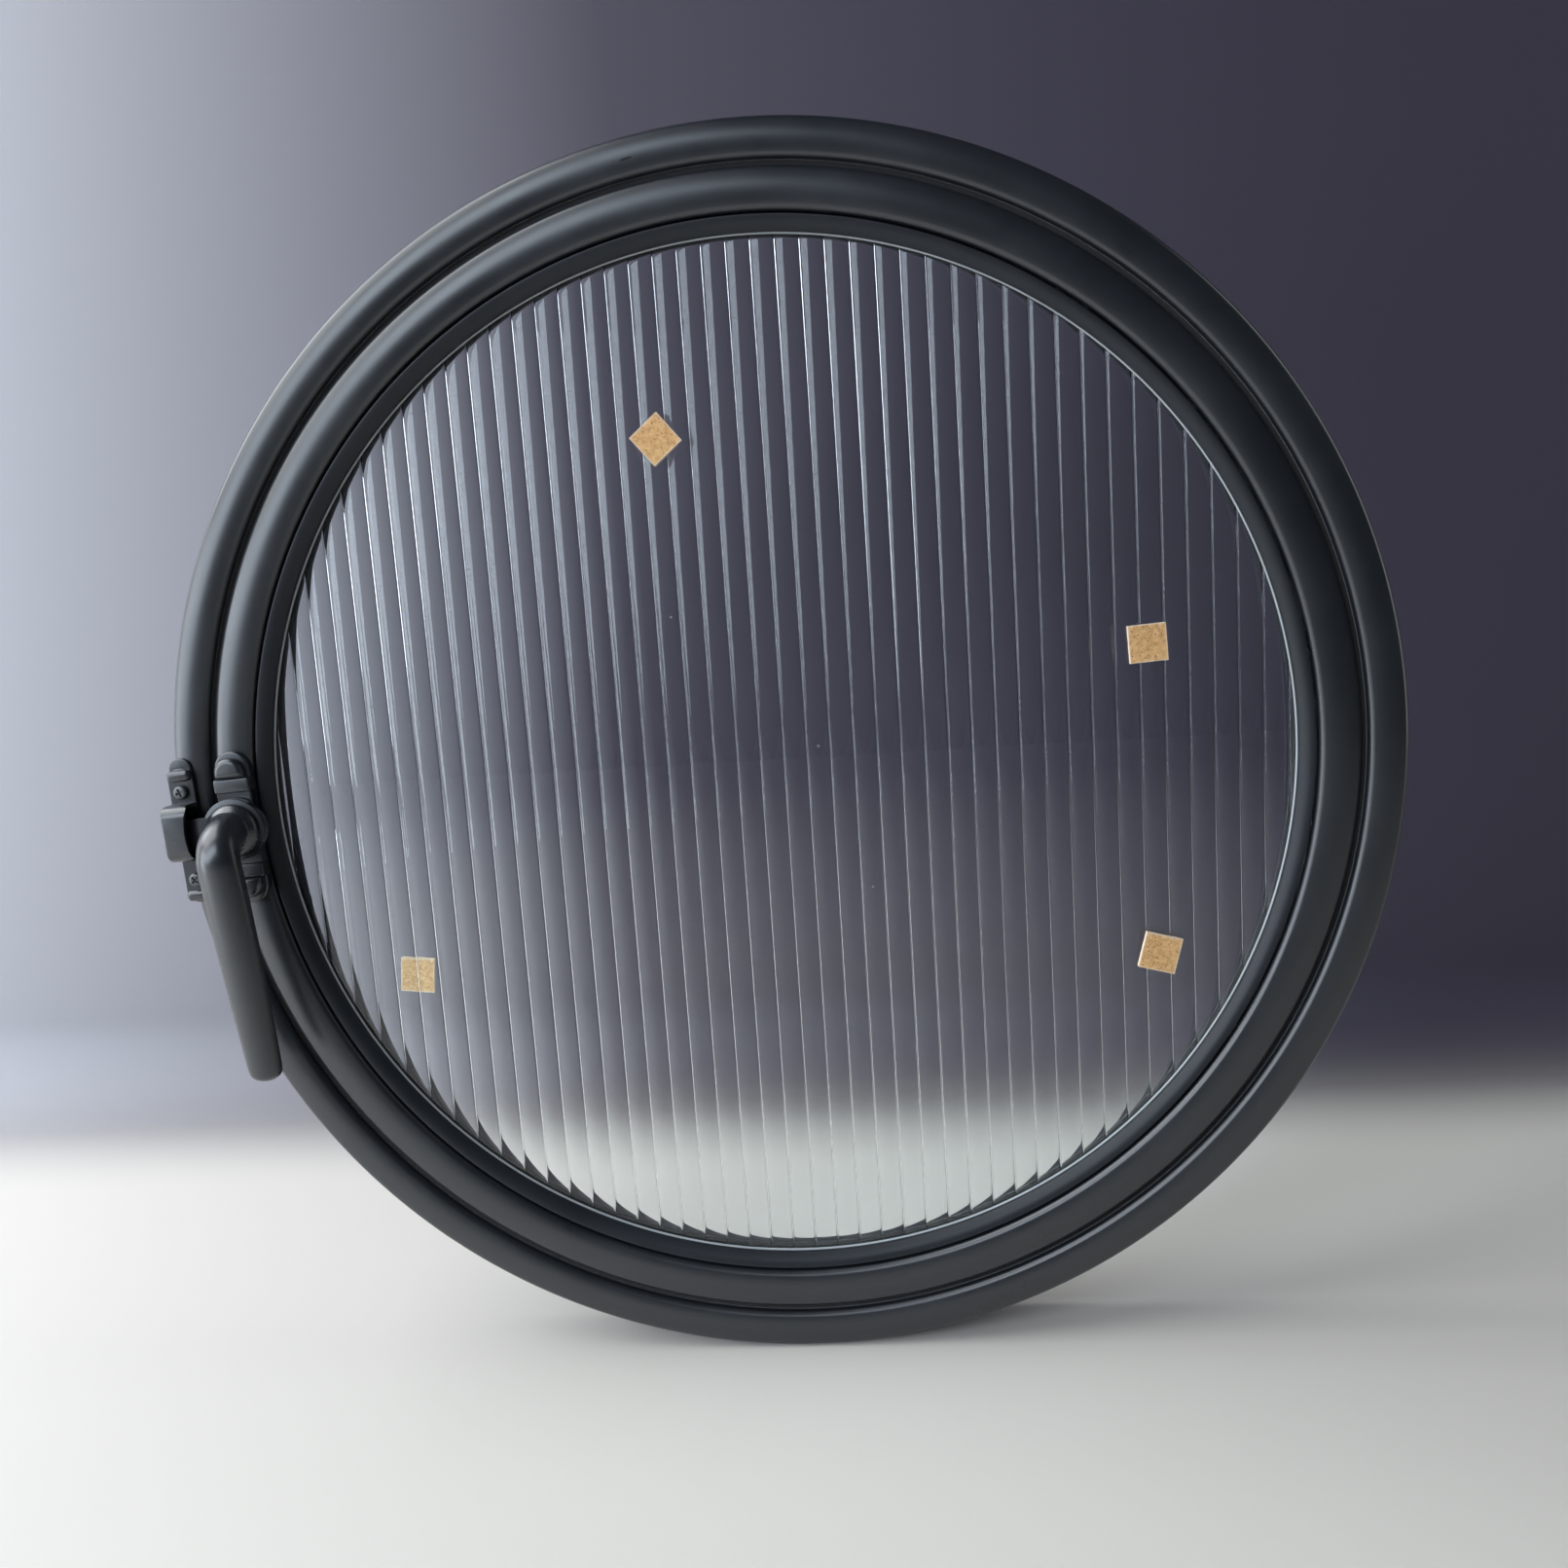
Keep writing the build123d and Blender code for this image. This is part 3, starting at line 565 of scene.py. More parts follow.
def makeFrameRing():
    middle, width, depth = rings["sealGroove"]
    details = []
    for side in (-1, 1):
        front, back = side * middle - width / 2, side * middle + width / 2
        details += [(frameInner, front), (frameInner + depth, front), (frameInner + depth, back),
                    (frameInner, back)]
    ring = solidFrom(ringProfile(frameInner, frameOuter, details), "frameRing")
    cutters = [ringHollow("hollow", frameInner, frameOuter)]
    for end in (1, -1):
        for name, edge in (("accessHole", frameOuter), ("pivotHole", frameInner)):
            radius, *reach = rings[name]
            low, high = sorted(end * (edge + run) for run in reach)
            cutters.append(cylinder(name, radius, low, high))
    combine(ring, cutters, "DIFFERENCE")
    return finishPiece(ring, "frame", ringCoating, ["frame_ring"], sharpAbove=28)


stopSlot = {
    "orbit": 12.0,
    "radius": 2.35,
    "sweep": 90.0,
    "overrun": 1.7,
    "steps": 24,
    "run": (-4, 3),  # about the sash's outer edge
}


def makeStopSlot():
    # a quarter-circle slot round the lower pivot
    bm = bmesh.new()
    start = Matrix.Rotation(math.radians(stopSlot["overrun"]), 4, "Z")
    inner, outer = stopSlot["orbit"] - stopSlot["radius"], stopSlot["orbit"] + stopSlot["radius"]
    low, high = (run - sashOuter for run in stopSlot["run"])
    verts = [bm.verts.new(start @ Vector((across, 0, up))) for across, up in
             ((inner, low), (outer, low), (outer, high), (inner, high))]
    face = bm.faces.new(verts)
    bmesh.ops.spin(bm, geom=[face], cent=(0, 0, 0), axis=(0, 0, 1), steps=stopSlot["steps"],
                   angle=-math.radians(stopSlot["sweep"] + 2 * stopSlot["overrun"]))
    bmesh.ops.recalc_face_normals(bm, faces=bm.faces[:])
    return solidFrom(bm, "slot")


def makeSashRing():
    lipFront, lipBack = rings["lipDepths"]
    grooveFront, grooveBack, grooveDepth = rings["beadGroove"]
    edge = rings["lipChamfer"]
    details = [(sashInner, grooveFront), (sashInner + grooveDepth, grooveFront),
               (sashInner + grooveDepth, grooveBack), (sashInner, grooveBack),
               (sashInner, lipFront), (lipInner + edge, lipFront), (lipInner, lipFront + edge),
               (lipInner, lipBack - edge), (lipInner + edge, lipBack), (sashInner, lipBack)]
    ring = solidFrom(ringProfile(sashInner, sashOuter, details), "sashRing")
    cutters = [ringHollow("hollow", sashInner, sashOuter), makeStopSlot()]
    combine(ring, cutters, "DIFFERENCE")
    return finishPiece(ring, "sash", ringCoating, ["sash_ring"], sharpAbove=28)


makeFrameRing()
makeSashRing()
print("rings made")

# Bead, gaskets and brush seals
bead = {
    "outer": sashInner - 1.0,
    "inner": sashInner - 8.2,
    "foot": glassFront - 1.5,
    "noseHeight": 1.6,
    "noseRounding": 0.5,
    "top": roomFace + 3.0,
    "topRounding": 0.75,
    "slopeSteps": 12,
    "slopePower": 2.1,
    "steps": 260,
}
gaskets = {
    "beadAcross": (bead["inner"] - 0.5, bead["inner"] + 3.9),
    "beadRoundings": (0.45, 0.3),  # towards the room and at the pane
    "lipWidth": 5.0,
    "lipDepth": 3.0,
    "lipRounding": 0.4,
}
brushSeal = {
    "play": 0.1,  # in the groove, on either side
    "back": 0.7,
    "backRounding": 0.2,
    "pile": (1.2, 1.0),  # half its width at the root and at the tip
    "tipRounding": 0.3,
    "gap": 0.7,  # between the tip and the sash
}


def makeBead():
    bm = bmesh.new()
    outer, inner, foot, top = bead["outer"], bead["inner"], bead["foot"], bead["top"]
    nose = foot - bead["noseHeight"]
    verts = [bm.verts.new((across, depth, 0)) for across, depth in
             ((inner, nose), (inner, foot), (outer, foot), (outer, top))]
    bm.faces.new(verts)
    sloped = bm.edges.get((verts[0], verts[3]))
    cut = bmesh.ops.subdivide_edges(bm, edges=[sloped], cuts=bead["slopeSteps"] - 1)
    for vert in vertsOf(cut["geom_inner"]):
        share = (outer - vert.co.x) / (outer - inner)
        vert.co.y = top + (nose - top) * share ** bead["slopePower"]
    roundCorner(bm, (outer, top), bead["topRounding"])
    roundCorner(bm, (inner, nose), bead["noseRounding"])
    spinOutline(bm, bead["steps"])
    ring = solidFrom(bm, "glazingBead")
    return finishPiece(ring, "sash", beadCoating, ["glazing_bead"], sharpAbove=40)


def makeHoop(name, body, finish, node, corners):
    bm = bmesh.new()
    outlineFace(bm, corners)
    spinOutline(bm, bead["steps"])
    return finishPiece(solidFrom(bm, name), body, finish, [node], sharpAbove=40)


def makeGaskets():
    inner, outer = gaskets["beadAcross"]
    foot, (front, back) = bead["foot"], gaskets["beadRoundings"]
    makeHoop("beadGasket", "sash", paleSeal, "bead_gasket",
             [(inner, foot, front), (outer, foot, 0), (outer, glassFront, 0),
              (inner, glassFront, back)])
    outer, rounding = lipInner + gaskets["lipWidth"], gaskets["lipRounding"]
    deep = glassBack + gaskets["lipDepth"]
    makeHoop("glassGasket", "sash", blackRubber, "glass_gasket",
             [(lipInner, glassBack, rounding), (outer, glassBack, 0), (outer, deep, 0),
              (lipInner, deep, rounding)])


def makeBrushSeal(name, node, side):
    middle, width, depth = rings["sealGroove"]
    middle *= side
    half = width / 2 - brushSeal["play"]
    root, tip = brushSeal["pile"]
    floor, reach = frameInner + depth, sashOuter + brushSeal["gap"]
    back = floor - brushSeal["back"]
    backRounding, tipRounding = brushSeal["backRounding"], brushSeal["tipRounding"]
    makeHoop(name, "frame", brushPile, node,
             [(floor, middle - half, 0), (floor, middle + half, 0),
              (back, middle + half, backRounding), (back, middle + root, 0),
              (reach, middle + tip, tipRounding), (reach, middle - tip, tipRounding),
              (back, middle - root, 0), (back, middle - half, backRounding)])


makeBead()
makeGaskets()
makeBrushSeal("brushSealRoom", "brush_seal_room", -1)
makeBrushSeal("brushSealOutdoor", "brush_seal_outdoor", 1)
print("bead and seals made")

# Pane: smooth towards the room, with upright hollow flutes towards outdoors
reeds = {
    "pitch": 11.55,
    "depth": 0.85,
    "steps": 9,
    "ridge": 0.6,  # half the width that is rounded
    "ridgeSteps": 5,
    "ribHeight": 0.32,
    "spare": 5,  # past the pane's outline, until that is cut
    "outlineSteps": 256,
}


def fluteDepth(across):
    # across runs from the flute's middle to the middle of its ridge
    half, ridge = reeds["pitch"] / 2, reeds["ridge"]
    fromRidge = half - abs(across)
    slope = 2 * reeds["depth"] * (half - ridge) / half ** 2
    foot = reeds["depth"] * (1 - ((half - ridge) / half) ** 2) - slope * ridge / 2
    if fromRidge > ridge:
        return reeds["depth"] * (1 - (across / half) ** 2) - foot + reeds["ribHeight"]
    rib = reeds["ribHeight"] * (1 + math.cos(math.pi * fromRidge / ridge)) / 2
    return slope * fromRidge ** 2 / (2 * ridge) + reeds["ribHeight"] - rib


def makePane():
    bm = bmesh.new()
    count = 2 * int(glassRadius / reeds["pitch"] + 0.5) + 1
    first = -count * reeds["pitch"] / 2
    half, ridge = reeds["pitch"] / 2, reeds["ridge"]
    flat, rounded = reeds["steps"], reeds["ridgeSteps"]
    side = [(half - ridge) * step / flat for step in range(1, flat + 1)]
    side += [half - ridge + ridge * step / rounded for step in range(1, rounded)]
    stations = [-half, *[-across for across in reversed(side)], 0, *side]
    top = glassRadius + reeds["spare"]
    corners = [(x, glassFront) for x in (-first, first)]
    for reed in range(count):
        middle = first + (reed + 0.5) * reeds["pitch"]
        corners += [(middle + across, glassBack - fluteDepth(across)) for across in stations]
    corners.append((-first, glassBack))
    bm.faces.new([bm.verts.new((x, y, -top)) for x, y in corners])
    raiseFaces(bm, 2 * top)
    bmesh.ops.recalc_face_normals(bm, faces=bm.faces[:])
    pane = solidFrom(bm, "glassPane")
    outline = cylinder("outline", glassRadius, -2 * crownTop, 2 * crownTop,
                       Matrix.Rotation(math.pi / 2, 4, "X"), reeds["outlineSteps"])
    combine(pane, [outline], "INTERSECT")
    return finishPiece(pane, "sash", reededGlass, ["glass_pane"], sharpAbove=45)


makePane()
print("pane made")

# Keeper on the frame, in the latch's own axes
keeper = {
    "across": (frameOuter - 13.3, frameOuter - 0.1),
    "along": (-32.5, 35.5),
    "cornerRounding": 6.0,
    "floor": crownTop + 3.2,
    "floorRim": 0.5,
    "endTop": crownTop + 5.4,
    "endLength": 6.4,
    "endInset": 0.4,
    "endRounding": 2.4,
    "endRim": 1.9,
    "step": 0.9,
    "plateAlong": (-37.4, 35.5),
    "plateTop": crownTop + 1.6,
    "plateInset": 0.8,
    "plateRounding": 5.2,
    "plateRim": 0.7,
    "hoodAlong": (-15.2, 12.9),
    "hoodTop": crownTop + 16.0,
    "hoodRounding": 5.5,
    "hoodRim": 1.1,
    "hoodInset": 0.05,
    "mouthRounding": 3.7,
    "wall": 2.2,
    "tongueSweep": 25.45,
    "roofEdge": (22.2, 40.0),  # how far from the hub it comes, and the radius of its curve
    "screwAlong": (-20.7, 23.7),
    "screwTurn": 0.6,
    "screwHead": 3.5,
    "screwHeight": 2.6,
    "screwRim": 1.5,
    "screwShank": 1.9,
    "screwTip": crownTop - 12.0,
    "crossSlot": (0.45, 2.1, 1.2),  # half width, half length and depth
}
latchFoot = -crownFoot - 0.4  # under the crown's foot, until the crown is cut out of it


def makeKeeper():
    inner, outer = keeper["across"]
    top, bottom = keeper["along"]
    low, high = keeper["hoodAlong"]
    floor, wall, roof = keeper["floor"], keeper["wall"], keeper["hoodTop"]
    length, step = keeper["endLength"], keeper["step"]
    edgeReach, edgeRadius = keeper["roofEdge"]
    outline = rectangle(keeper["across"], keeper["along"], keeper["cornerRounding"])
    solid = prism("keeperCasting", outline, latchFoot, floor, latchPlace, keeper["floorRim"])
    across = (inner + keeper["endInset"], outer - keeper["endInset"])
    parts = [prism("end", rectangle(across, run, keeper["endRounding"]), floor - 2,
                   keeper["endTop"], latchPlace, keeper["endRim"])
             for run in ((top + step, top + length), (bottom - length, bottom - step))]
    across = (inner + keeper["plateInset"], outer - keeper["plateInset"])
    outline = rectangle(across, keeper["plateAlong"], keeper["plateRounding"])
    parts.append(prism("plate", outline, latchFoot, keeper["plateTop"], latchPlace,
                       keeper["plateRim"]))
    rounding, inset = keeper["hoodRounding"], keeper["hoodInset"]
    hood = [(low, latchFoot, 0), (high, latchFoot, 0), (high, roof, rounding), (low, roof, rounding)]
    parts.append(prism("hood", hood, inner + inset, outer - inset, sidePlace, keeper["hoodRim"]))
    combine(solid, parts, "UNION")
    inside = keeper["mouthRounding"]
    mouth = [(low + wall, floor, 0), (high - wall, floor, 0), (high - wall, roof - wall, inside),
             (low + wall, roof - wall, inside)]
    edgePlace = hubPlace @ Matrix.Translation((edgeReach - edgeRadius, 0, 0))
    cuts = [prism("mouth", mouth, inner - 5, outer - wall, sidePlace),
            cylinder("sweep", keeper["tongueSweep"], floor, roof - wall, hubPlace),
            cylinder("edge", edgeRadius, floor + 2, roof + 1, edgePlace, 160),
            solidFrom(ringProfile(frameInner, frameOuter), "crown")]
    combine(solid, cuts, "DIFFERENCE")
    return finishPiece(solid, "frame", castCoating, ["keeper"], sharpAbove=30)


def makeKeeperScrew(name, node, along):
    middle = sum(keeper["across"]) / 2
    # each screw has stopped at an angle of its own
    turned = Matrix.Rotation(keeper["screwTurn"] + along, 4, "Z")
    place = latchPlace @ Matrix.Translation((middle, along, 0)) @ turned
    foot, top = keeper["floor"], keeper["floor"] + keeper["screwHeight"]
    head = cylinder(name, keeper["screwHead"], foot, top, place, 40)
    soften(head, keeper["screwRim"], 6)
    shank = cylinder("shank", keeper["screwShank"], keeper["screwTip"], foot + 0.5, place, 24)
    combine(head, [shank], "UNION")
    half, reach, depth = keeper["crossSlot"]
    slots = [prism("slot", rectangle((-across, across), (-run, run), 0), top - depth, top + 1, place)
             for across, run in ((half, reach), (reach, half))]
    combine(head, slots, "DIFFERENCE")
    return finishPiece(head, "frame", blackenedScrew, [node], sharpAbove=30)


makeKeeper()
for end, along in zip(("upper", "lower"), keeper["screwAlong"]):
    makeKeeperScrew("keeperScrew" + end.capitalize(), "keeper_screw_" + end, along)
print("keeper made")

# Handle base on the sash and its two snap-on caps, measured from the hub
handleBase = {
    "halfWidth": 8.75,
    "halfLength": 38.5,
    "endShort": 0.02,  # so that two roundings of half the width don't cross
    "cornerRounding": 1,
    "plateTop": crownTop + 2.5,
    "plateRim": 1.2,
    "neckTop": crownTop + 4.0,
    "neckAlong": 20.0,
    "neckRim": 0.5,
    "bandTop": crownTop + 5.4,
    "bandRim": 0.8,
    "bandAlong": (18.0, 25.0),
    "bandHalfWidth": 9.05,
    "bossRadius": 12.5,
    "bossTop": crownTop + 4.6,
    "bore": 4.05,
    "capAlong": (25.25, 35.4),
    "capHalfWidth": 7.4,
    "capHeight": 5.0,
    "capRim": 2.7,
    "capRimSteps": 8,
}


def makeHandleBase():
    half, length = handleBase["halfWidth"], handleBase["halfLength"]
    outline = rectangle((-half, half), (-length, length), half - handleBase["endShort"])
    solid = prism("handleBase", outline, latchFoot, handleBase["plateTop"], hubPlace,
                  handleBase["plateRim"])
    neck, rounding = handleBase["neckAlong"], handleBase["cornerRounding"]
    parts = [prism("neck", rectangle((-half, half), (-neck, neck), rounding), latchFoot,
                   handleBase["neckTop"], hubPlace, handleBase["neckRim"])]
    (inner, outer), band = handleBase["bandAlong"], handleBase["bandHalfWidth"]
    for run in ((-outer, -inner), (inner, outer)):
        parts.append(prism("band", rectangle((-band, band), run, rounding), latchFoot,
                           handleBase["bandTop"], hubPlace, handleBase["bandRim"]))
    parts.append(cylinder("boss", handleBase["bossRadius"], latchFoot, handleBase["bossTop"],
                          hubPlace, 72))
    combine(solid, parts, "UNION")
    cuts = [cylinder("bore", handleBase["bore"], 0, 2 * handleBase["bossTop"], hubPlace, 32),
            solidFrom(ringProfile(sashInner, sashOuter), "crown")]
    combine(solid, cuts, "DIFFERENCE")
    return finishPiece(solid, "sash", castCoating, ["handle_base"], sharpAbove=30)


def makeCap(name, node, side):
    near, far = (side * along for along in handleBase["capAlong"])
    half = handleBase["capHalfWidth"]
    end = half - handleBase["endShort"]
    outline = [(-half, near, 0), (half, near, 0), (half, far, end), (-half, far, end)]
    foot = handleBase["plateTop"]
    cap = prism(name, outline, foot, foot + handleBase["capHeight"], hubPlace,
                handleBase["capRim"], handleBase["capRimSteps"])
    return finishPiece(cap, "sash", castCoating, [node], sharpAbove=40)


makeHandleBase()
makeCap("handleCapUpper", "handle_cap_upper", -1)
makeCap("handleCapLower", "handle_cap_lower", 1)
print("handle base made")

# Tongue and lever turn together about the hub
tongue = {
    "foot": crownTop + 5.7,
    "thickness": 4.5,
    "discRadius": 15.5,
    "reach": 24.65,
    "halfWidth": 7.5,
    "tipRounding": 2.0,
    "rim": 0.7,
    "bore": 4.05,
}


def makeTongue():
    foot, top = tongue["foot"], tongue["foot"] + tongue["thickness"]
    solid = cylinder("tonguePlate", tongue["discRadius"], foot, top, hubPlace, 96)
    half, tip, reach = tongue["halfWidth"], tongue["tipRounding"], tongue["reach"]
    nose = [(0, -half, 0), (reach, -half, tip), (reach, half, tip), (0, half, 0)]
    combine(solid, [prism("nose", nose, foot, top, hubPlace)], "UNION")
    combine(solid, [cylinder("bore", tongue["bore"], foot - 2, top + 2, hubPlace, 32)], "DIFFERENCE")
    soften(solid, tongue["rim"], 3)
    return finishPiece(solid, "handle", castCoating, ["tongue"], sharpAbove=40)


lever = {
    "foot": crownTop + 10.2,
    # height and radius
    "root": [(0.0, 12.6), (0.5, 13.3), (1.5, 13.5), (2.8, 12.9), (4.1, 11.8), (5.2, 10.8)],
    "elbowStart": crownTop + 16.0,
    "elbowRadius": 14.0,
    "slope": 2.5,  # of the grip towards the rings, in degrees
    "lean": 1.6,  # and to the side
    # share of the length, half width and half thickness
    "elbowSizes": [(0.0, 9.9, 9.7), (0.33, 10.1, 9.1), (0.67, 10.4, 8.4), (1.0, 10.7, 7.8)],
    "gripSizes": [(0.0, 10.7, 7.8), (0.16, 10.8, 7.6), (0.4, 10.5, 7.3), (0.7, 9.6, 6.7),
                  (1.0, 8.5, 6.0)],
    "gripLength": 104.0,
    "tipLength": 5.5,
    "tipTurns": (22, 42, 60, 76, 86),
    "loopSteps": 28,
    "elbowSteps": 9,
    "gripSteps": 12,
}


def sizeAt(table, share):
    for (start, *first), (end, *second) in zip(table, table[1:]):
        if share <= end:
            part = (share - start) / (end - start)
            return [a + (b - a) * part for a, b in zip(first, second)]
    return table[-1][1:]


def leverStations():
    # each is (along, height, turn, half width, half thickness)
    stations = [(0, lever["foot"] + height, 0, radius, radius) for height, radius in lever["root"]]
    radius, fullSweep = lever["elbowRadius"], math.radians(90 + lever["slope"])
    elbowSteps, gripSteps = lever["elbowSteps"], lever["gripSteps"]
    gripLength = lever["gripLength"]
    for step in range(elbowSteps + 1):
        turn = fullSweep * step / elbowSteps
        along, height = radius * (1 - math.cos(turn)), lever["elbowStart"] + radius * math.sin(turn)
        stations.append((along, height, turn, *sizeAt(lever["elbowSizes"], step / elbowSteps)))
    runs = [gripLength * step / gripSteps for step in range(1, gripSteps + 1)]
    sizes = [sizeAt(lever["gripSizes"], run / gripLength) for run in runs]
    for turn in lever["tipTurns"]:
        runs.append(gripLength + lever["tipLength"] * math.sin(math.radians(turn)))
        sizes.append([size * math.cos(math.radians(turn)) for size in lever["gripSizes"][-1][1:]])
    for run, size in zip(runs, sizes):
        place = along + run * math.sin(fullSweep), height + run * math.cos(fullSweep)
        stations.append((*place, fullSweep, *size))
    return stations


def makeLever():
    bm = bmesh.new()
    loops = []
    for along, height, turn, halfWidth, halfThickness in leverStations():
        made = bmesh.ops.create_circle(bm, segments=lever["loopSteps"], radius=1)
        place = Matrix.Translation((-along * math.sin(math.radians(lever["lean"])), along, height))
        sized = Matrix.Diagonal((halfWidth, halfThickness, 1, 1))
        place = place @ Matrix.Rotation(-turn, 4, "X") @ sized
        bmesh.ops.transform(bm, matrix=hubPlace @ place, verts=made["verts"])
        loops.append([edge for edge in bm.edges
                      if all(vert in made["verts"] for vert in edge.verts)])
    for first, second in zip(loops, loops[1:]):
        bmesh.ops.bridge_loops(bm, edges=first + second)
    bmesh.ops.contextual_create(bm, geom=loops[0])
    bmesh.ops.contextual_create(bm, geom=loops[-1])
    bmesh.ops.recalc_face_normals(bm, faces=bm.faces[:])
    solid = solidFrom(bm, "leverCasting")
    step = solid.modifiers.new("smooth", "SUBSURF")
    step.levels = step.render_levels = 1
    settle(solid)
    return finishPiece(solid, "handle", castCoating, ["lever"], sharpAbove=50)


makeTongue()
makeLever()
print("lever made")

# Cork pads, cut a little unevenly
pads = {
    "side": 18.0,
    "steps": 24,
    "uneven": 0.3,
    "edgeWave": 0.9,
    "edgeReach": 0.1,
    "rimWidth": 1.4,
    "rimWave": 1.7,
    "leastRim": 0.2,
    "rimStrength": 0.65,
}
padTurns = {"pad_upper": 39.0, "pad_right": 3.0, "pad_lower_right": -15.0, "pad_lower_left": -6.0}


def makePad(node, turn):
    low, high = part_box(node)
    middle = (low + high) / 2 / millimetre
    thickness = (high.y - low.y) / millimetre
    half = pads["side"] / 2
    bm = bmesh.new()
    bmesh.ops.create_grid(bm, x_segments=pads["steps"], y_segments=pads["steps"], size=half)
    rimLayer = bm.verts.layers.float.new("rim")
    raiseFaces(bm, thickness)
    bmesh.ops.translate(bm, vec=(0, 0, -thickness / 2), verts=bm.verts[:])
    for vert in bm.verts:
        fromEdge = half - max(abs(vert.co.x), abs(vert.co.y))
        uneven = pads["uneven"] * (0.5 + 0.5 * noise.noise(vert.co * pads["edgeWave"] + middle))
        if fromEdge < pads["edgeReach"]:
            vert.co.x *= 1 - uneven / half
            vert.co.y *= 1 - uneven / half
        ragged = pads["rimWidth"] * (0.6 + noise.noise(vert.co * pads["rimWave"] - middle))
        paler = 1 - fromEdge / max(ragged, pads["leastRim"])
        vert[rimLayer] = pads["rimStrength"] * max(0.0, min(1.0, paler))
    bmesh.ops.recalc_face_normals(bm, faces=bm.faces[:])
    place = Matrix.Translation(middle) @ Matrix.Rotation(-math.radians(turn), 4, "Y")
    bmesh.ops.transform(bm, matrix=place @ Matrix.Rotation(math.pi / 2, 4, "X"), verts=bm.verts[:])
    solid = solidFrom(bm, "pad" + "".join(word.capitalize() for word in node.split("_")[1:]))
    return finishPiece(solid, "sash", cork, [node], sharpAbove=40)


for node, turn in padTurns.items():
    makePad(node, turn)
print("pads made")

# Camera, lights and stage
view = {
    "place": (0.0584, -0.6476, 0.0869),
    "right": (0.99513, 0.07271, -0.06655),
    "up": (0.05505, 0.15009, 0.98714),
    "back": (0.08176, -0.98599, 0.14536),
    "lens": 30.24,
    "sensor": 36,
    "clip": (0.02, 30),
}


def makeCamera():
    data = bpy.data.cameras.new("camera")
    data.sensor_width = view["sensor"]
    data.lens = view["lens"]
    data.clip_start, data.clip_end = view["clip"]
    camera = bpy.data.objects.new("camera", data)
    scene.collection.objects.link(camera)
    turn = Matrix((view["right"], view["up"], view["back"])).transposed()
    camera.matrix_world = Matrix.Translation(view["place"]) @ turn.to_4x4()
    scene.camera = camera


lamps = {
    "skyLeft": {"place": (-1.23, -1.84, 0.81), "roll": -45, "size": (0.9, 2.2), "power": 34.0,
                "colour": (0.78, 0.88, 1.0)},
    "overLeft": {"place": (-1.25, -0.35, 1.3), "roll": 0, "size": (1.5, 1.5), "power": 33.0,
                 "colour": (0.92, 0.96, 1.0)},
    "lowLeft": {"place": (-1.5, -0.65, 0.09), "roll": 0, "size": (0.6, 0.85), "power": 9.0,
                "colour": (0.84, 0.91, 1.0)},
    "behindLeft": {"place": (-1.5, 0.1, 0.5), "roll": 0, "size": (0.5, 1.6), "power": 7.0,
                   "colour": (0.95, 0.97, 1.0)},
    "behindRight": {"place": (1.5, 0.1, 0.5), "roll": 0, "size": (0.4, 1.6), "power": 4.0,
                    "colour": (0.95, 0.97, 1.0)},
}
sky = {"colour": (0.72, 0.78, 0.86), "strength": (0.05, 0.6)}  # as light, and as seen


def makeLamps():
    for name, lamp in lamps.items():
        data = bpy.data.lights.new(name, "AREA")
        data.shape = "RECTANGLE"
        data.size, data.size_y = lamp["size"]
        data.energy = lamp["power"]
        data.color = lamp["colour"]
        light = bpy.data.objects.new(name, data)
        scene.collection.objects.link(light)
        light.location = lamp["place"]
        aim = (-Vector(lamp["place"])).to_track_quat("-Z", "Y").to_matrix()
        light.rotation_euler = (aim @ Matrix.Rotation(math.radians(lamp["roll"]), 3, "Z")).to_euler()
    world = bpy.data.worlds.new("studio")
    scene.world = world
    world.use_nodes = True
    tree = world.node_tree
    path = addNode(tree, "ShaderNodeLightPath")
    background = setInputs(tree.nodes["Background"], {"Color": (*sky["colour"], 1)})
    tree.links.new(spread(tree, path.outputs["Is Camera Ray"], *sky["strength"], 0, 1),
                   background.inputs["Strength"])


stage = {
    "floor": -frameOuter * millimetre - 0.0005,
    "back": 0.37,
    "curve": 0.07,
    "curveSteps": 12,
    "halfWidth": 2.4,
    "front": -2.4,
    "height": 3.0,
    "pale": (0.70, 0.665, 0.61),
    "far": (0.16, 0.15, 0.15),
    # the backdrop's colours, pale to dark from left to right, are painted light and shade
    "wallPaintedLight": (0.34, 0.34, 0.37),
    "wallPaintedShade": (0.036, 0.029, 0.049),
    "wallFalloff": (-0.80, -0.12),
    # where painted shadow darkens the floor towards the backdrop
    "toWall": (0.19, 0.36),
    "toFront": (-2.0, -0.7),
    "roughness": 0.6,
}


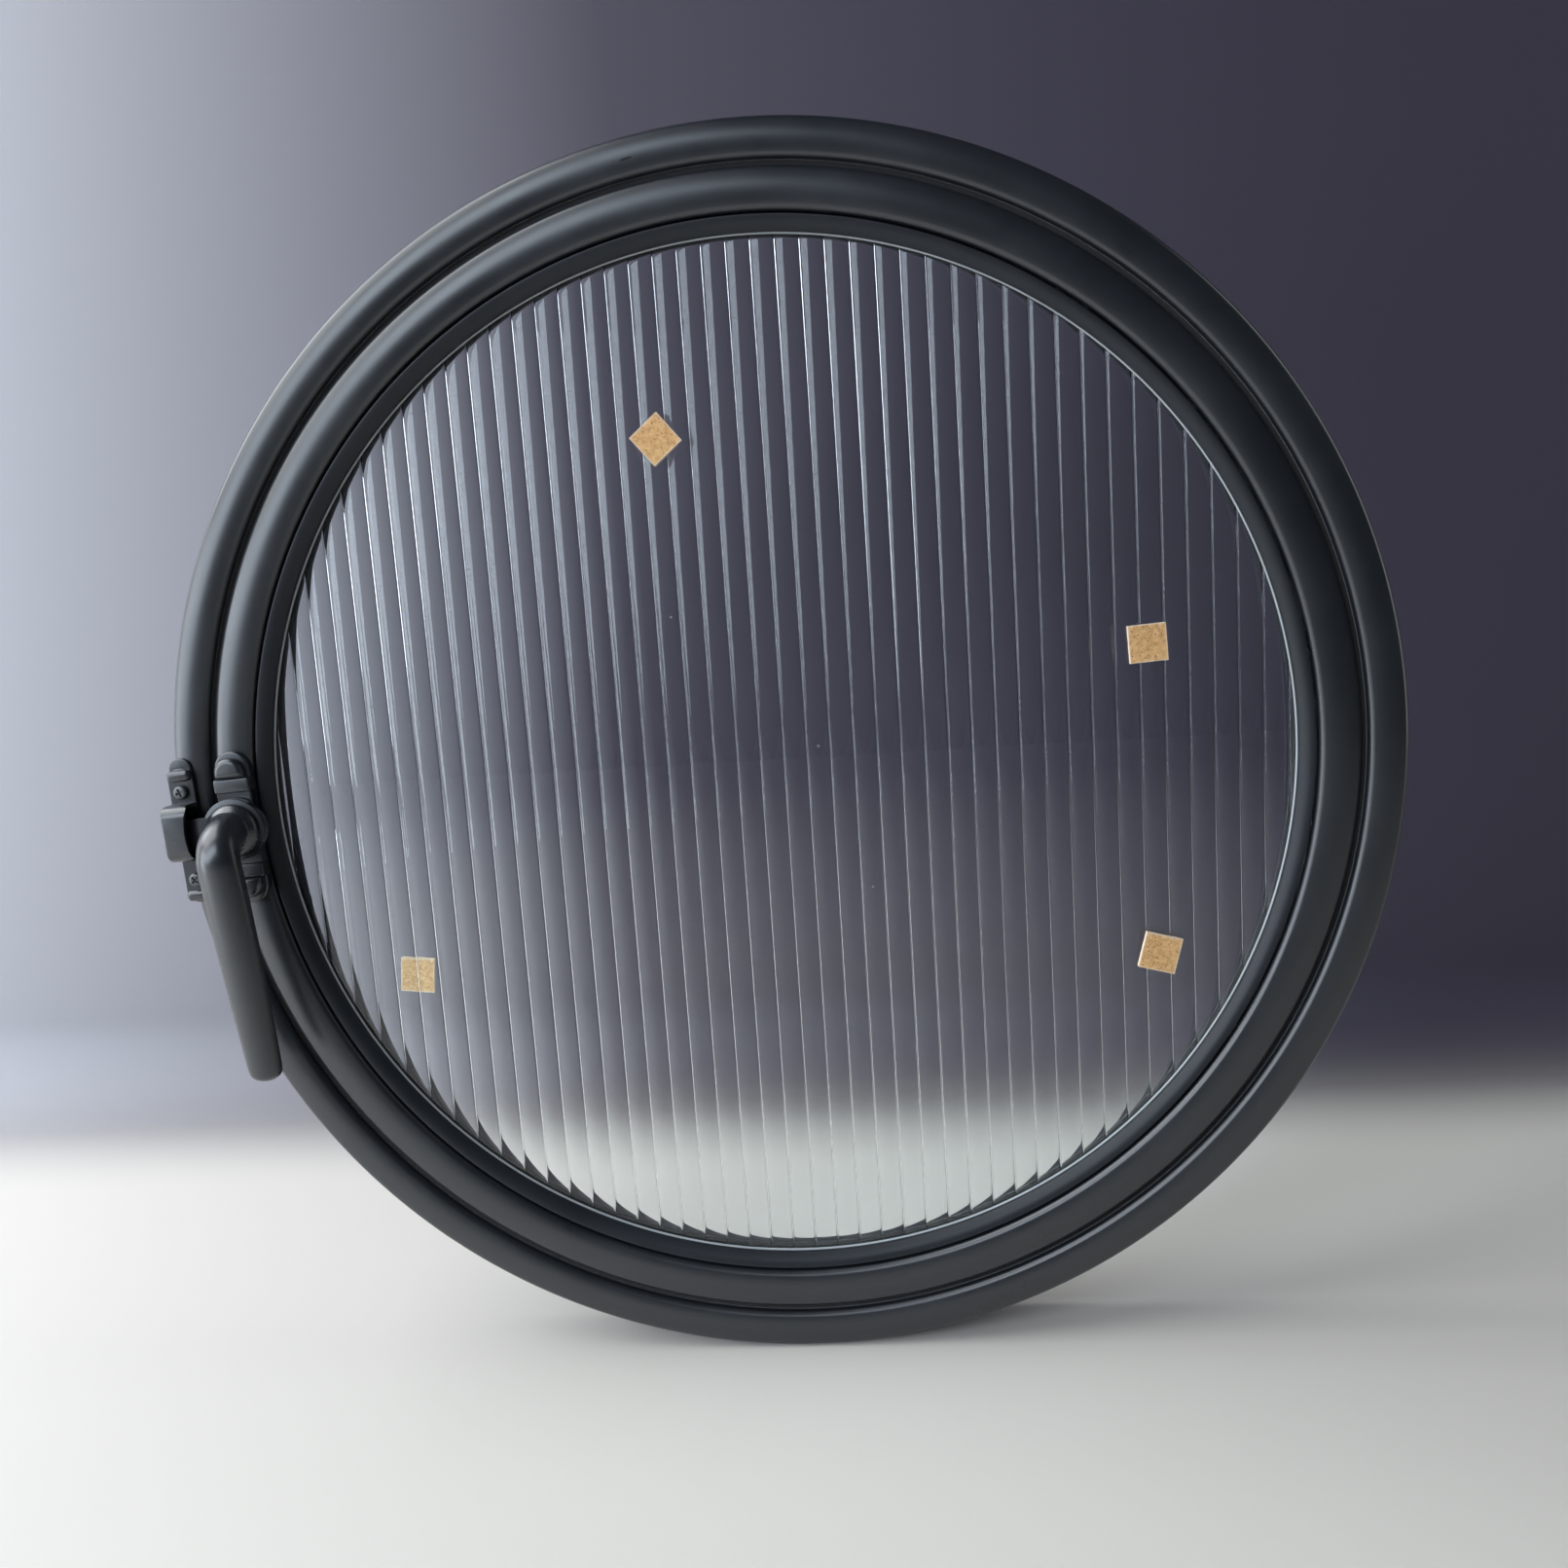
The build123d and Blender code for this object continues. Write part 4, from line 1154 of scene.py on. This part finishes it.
def makeStageFinish():
    # pale floor, darker far in front, and a backdrop with painted light and shade, pale on the left
    # to dark on the right; painted shadow darkens the floor towards the backdrop, and the backdrop
    # can be looked through from behind
    finish, tree, shader, where = newFinish("stagePaint")
    parts = addNode(tree, "ShaderNodeSeparateXYZ")
    tree.links.new(where, parts.inputs["Vector"])
    # painted light falloff across the backdrop: pale on the left, painted shade on the right
    wallFalloff = spread(tree, parts.outputs["X"], 0, 1, *stage["wallFalloff"])
    wall = blendColours(tree, wallFalloff, stage["wallPaintedLight"], stage["wallPaintedShade"])
    near = spread(tree, parts.outputs["Y"], 0, 1, *stage["toFront"])
    floor = blendColours(tree, near, stage["far"], stage["pale"])
    # painted shadow: the floor darkens into the backdrop's colour just before it
    paintedShadeToWall = addNode(tree, "ShaderNodeMapRange", interpolation_type="SMOOTHSTEP")
    setInputs(paintedShadeToWall, {"From Min": stage["toWall"][0], "From Max": stage["toWall"][1]})
    tree.links.new(parts.outputs["Y"], paintedShadeToWall.inputs["Value"])
    tree.links.new(blendColours(tree, paintedShadeToWall.outputs["Result"], floor, wall),
                   shader.inputs["Base Color"])
    setInputs(shader, {"Roughness": stage["roughness"]})
    side = addNode(tree, "ShaderNodeNewGeometry")
    clear = addNode(tree, "ShaderNodeBsdfTransparent")
    mixShaders(tree, side.outputs["Backfacing"], shader, clear)
    return finish


def makeStage():
    bm = bmesh.new()
    low, back, curve = stage["floor"], stage["back"], stage["curve"]
    points = [(stage["front"], low), (back - curve, low)]
    for step in range(1, stage["curveSteps"] + 1):
        turn = math.pi / 2 * step / stage["curveSteps"]
        points.append((back - curve + curve * math.sin(turn), low + curve * (1 - math.cos(turn))))
    points.append((back, stage["height"]))
    verts = [bm.verts.new((-stage["halfWidth"], y, z)) for y, z in points]
    edges = [bm.edges.new(pair) for pair in zip(verts, verts[1:])]
    run = bmesh.ops.extrude_edge_only(bm, edges=edges)
    bmesh.ops.translate(bm, vec=(2 * stage["halfWidth"], 0, 0), verts=vertsOf(run["geom"]))
    bmesh.ops.recalc_face_normals(bm, faces=bm.faces[:])
    bm.faces.ensure_lookup_table()
    if bm.faces[0].normal.z < 0:
        bmesh.ops.reverse_faces(bm, faces=bm.faces[:])
    for face in bm.faces:
        face.smooth = True
    sweep = solidFrom(bm, "stageSweep")
    sweep.data.materials.append(makeStageFinish())


makeCamera()
makeLamps()
makeStage()
scene.view_settings.view_transform = "Standard"
print("stage made")

# CAD pieces that keep their own shape get their finish
plainNodes = {
    "steel": (turnedSteel, ["pivot_block_top", "pivot_block_bottom", "pivot_bolt_top",
                            "pivot_bolt_bottom", "spring_washer_top", "spring_washer_bottom",
                            "stop_pin", "handle_screw_upper", "handle_screw_lower",
                            "handle_washer", "spindle"]),
    "acetal": (acetal, ["pivot_bush_top", "pivot_bush_bottom"]),
    "blocks": (blockPlastic, ["setting_block_1", "setting_block_2", "setting_block_3",
                              "setting_block_4"]),
}
for finish, nodes in plainNodes.values():
    for node in nodes:
        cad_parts[node].material_slots[0].material = finish
print("finishes assigned")
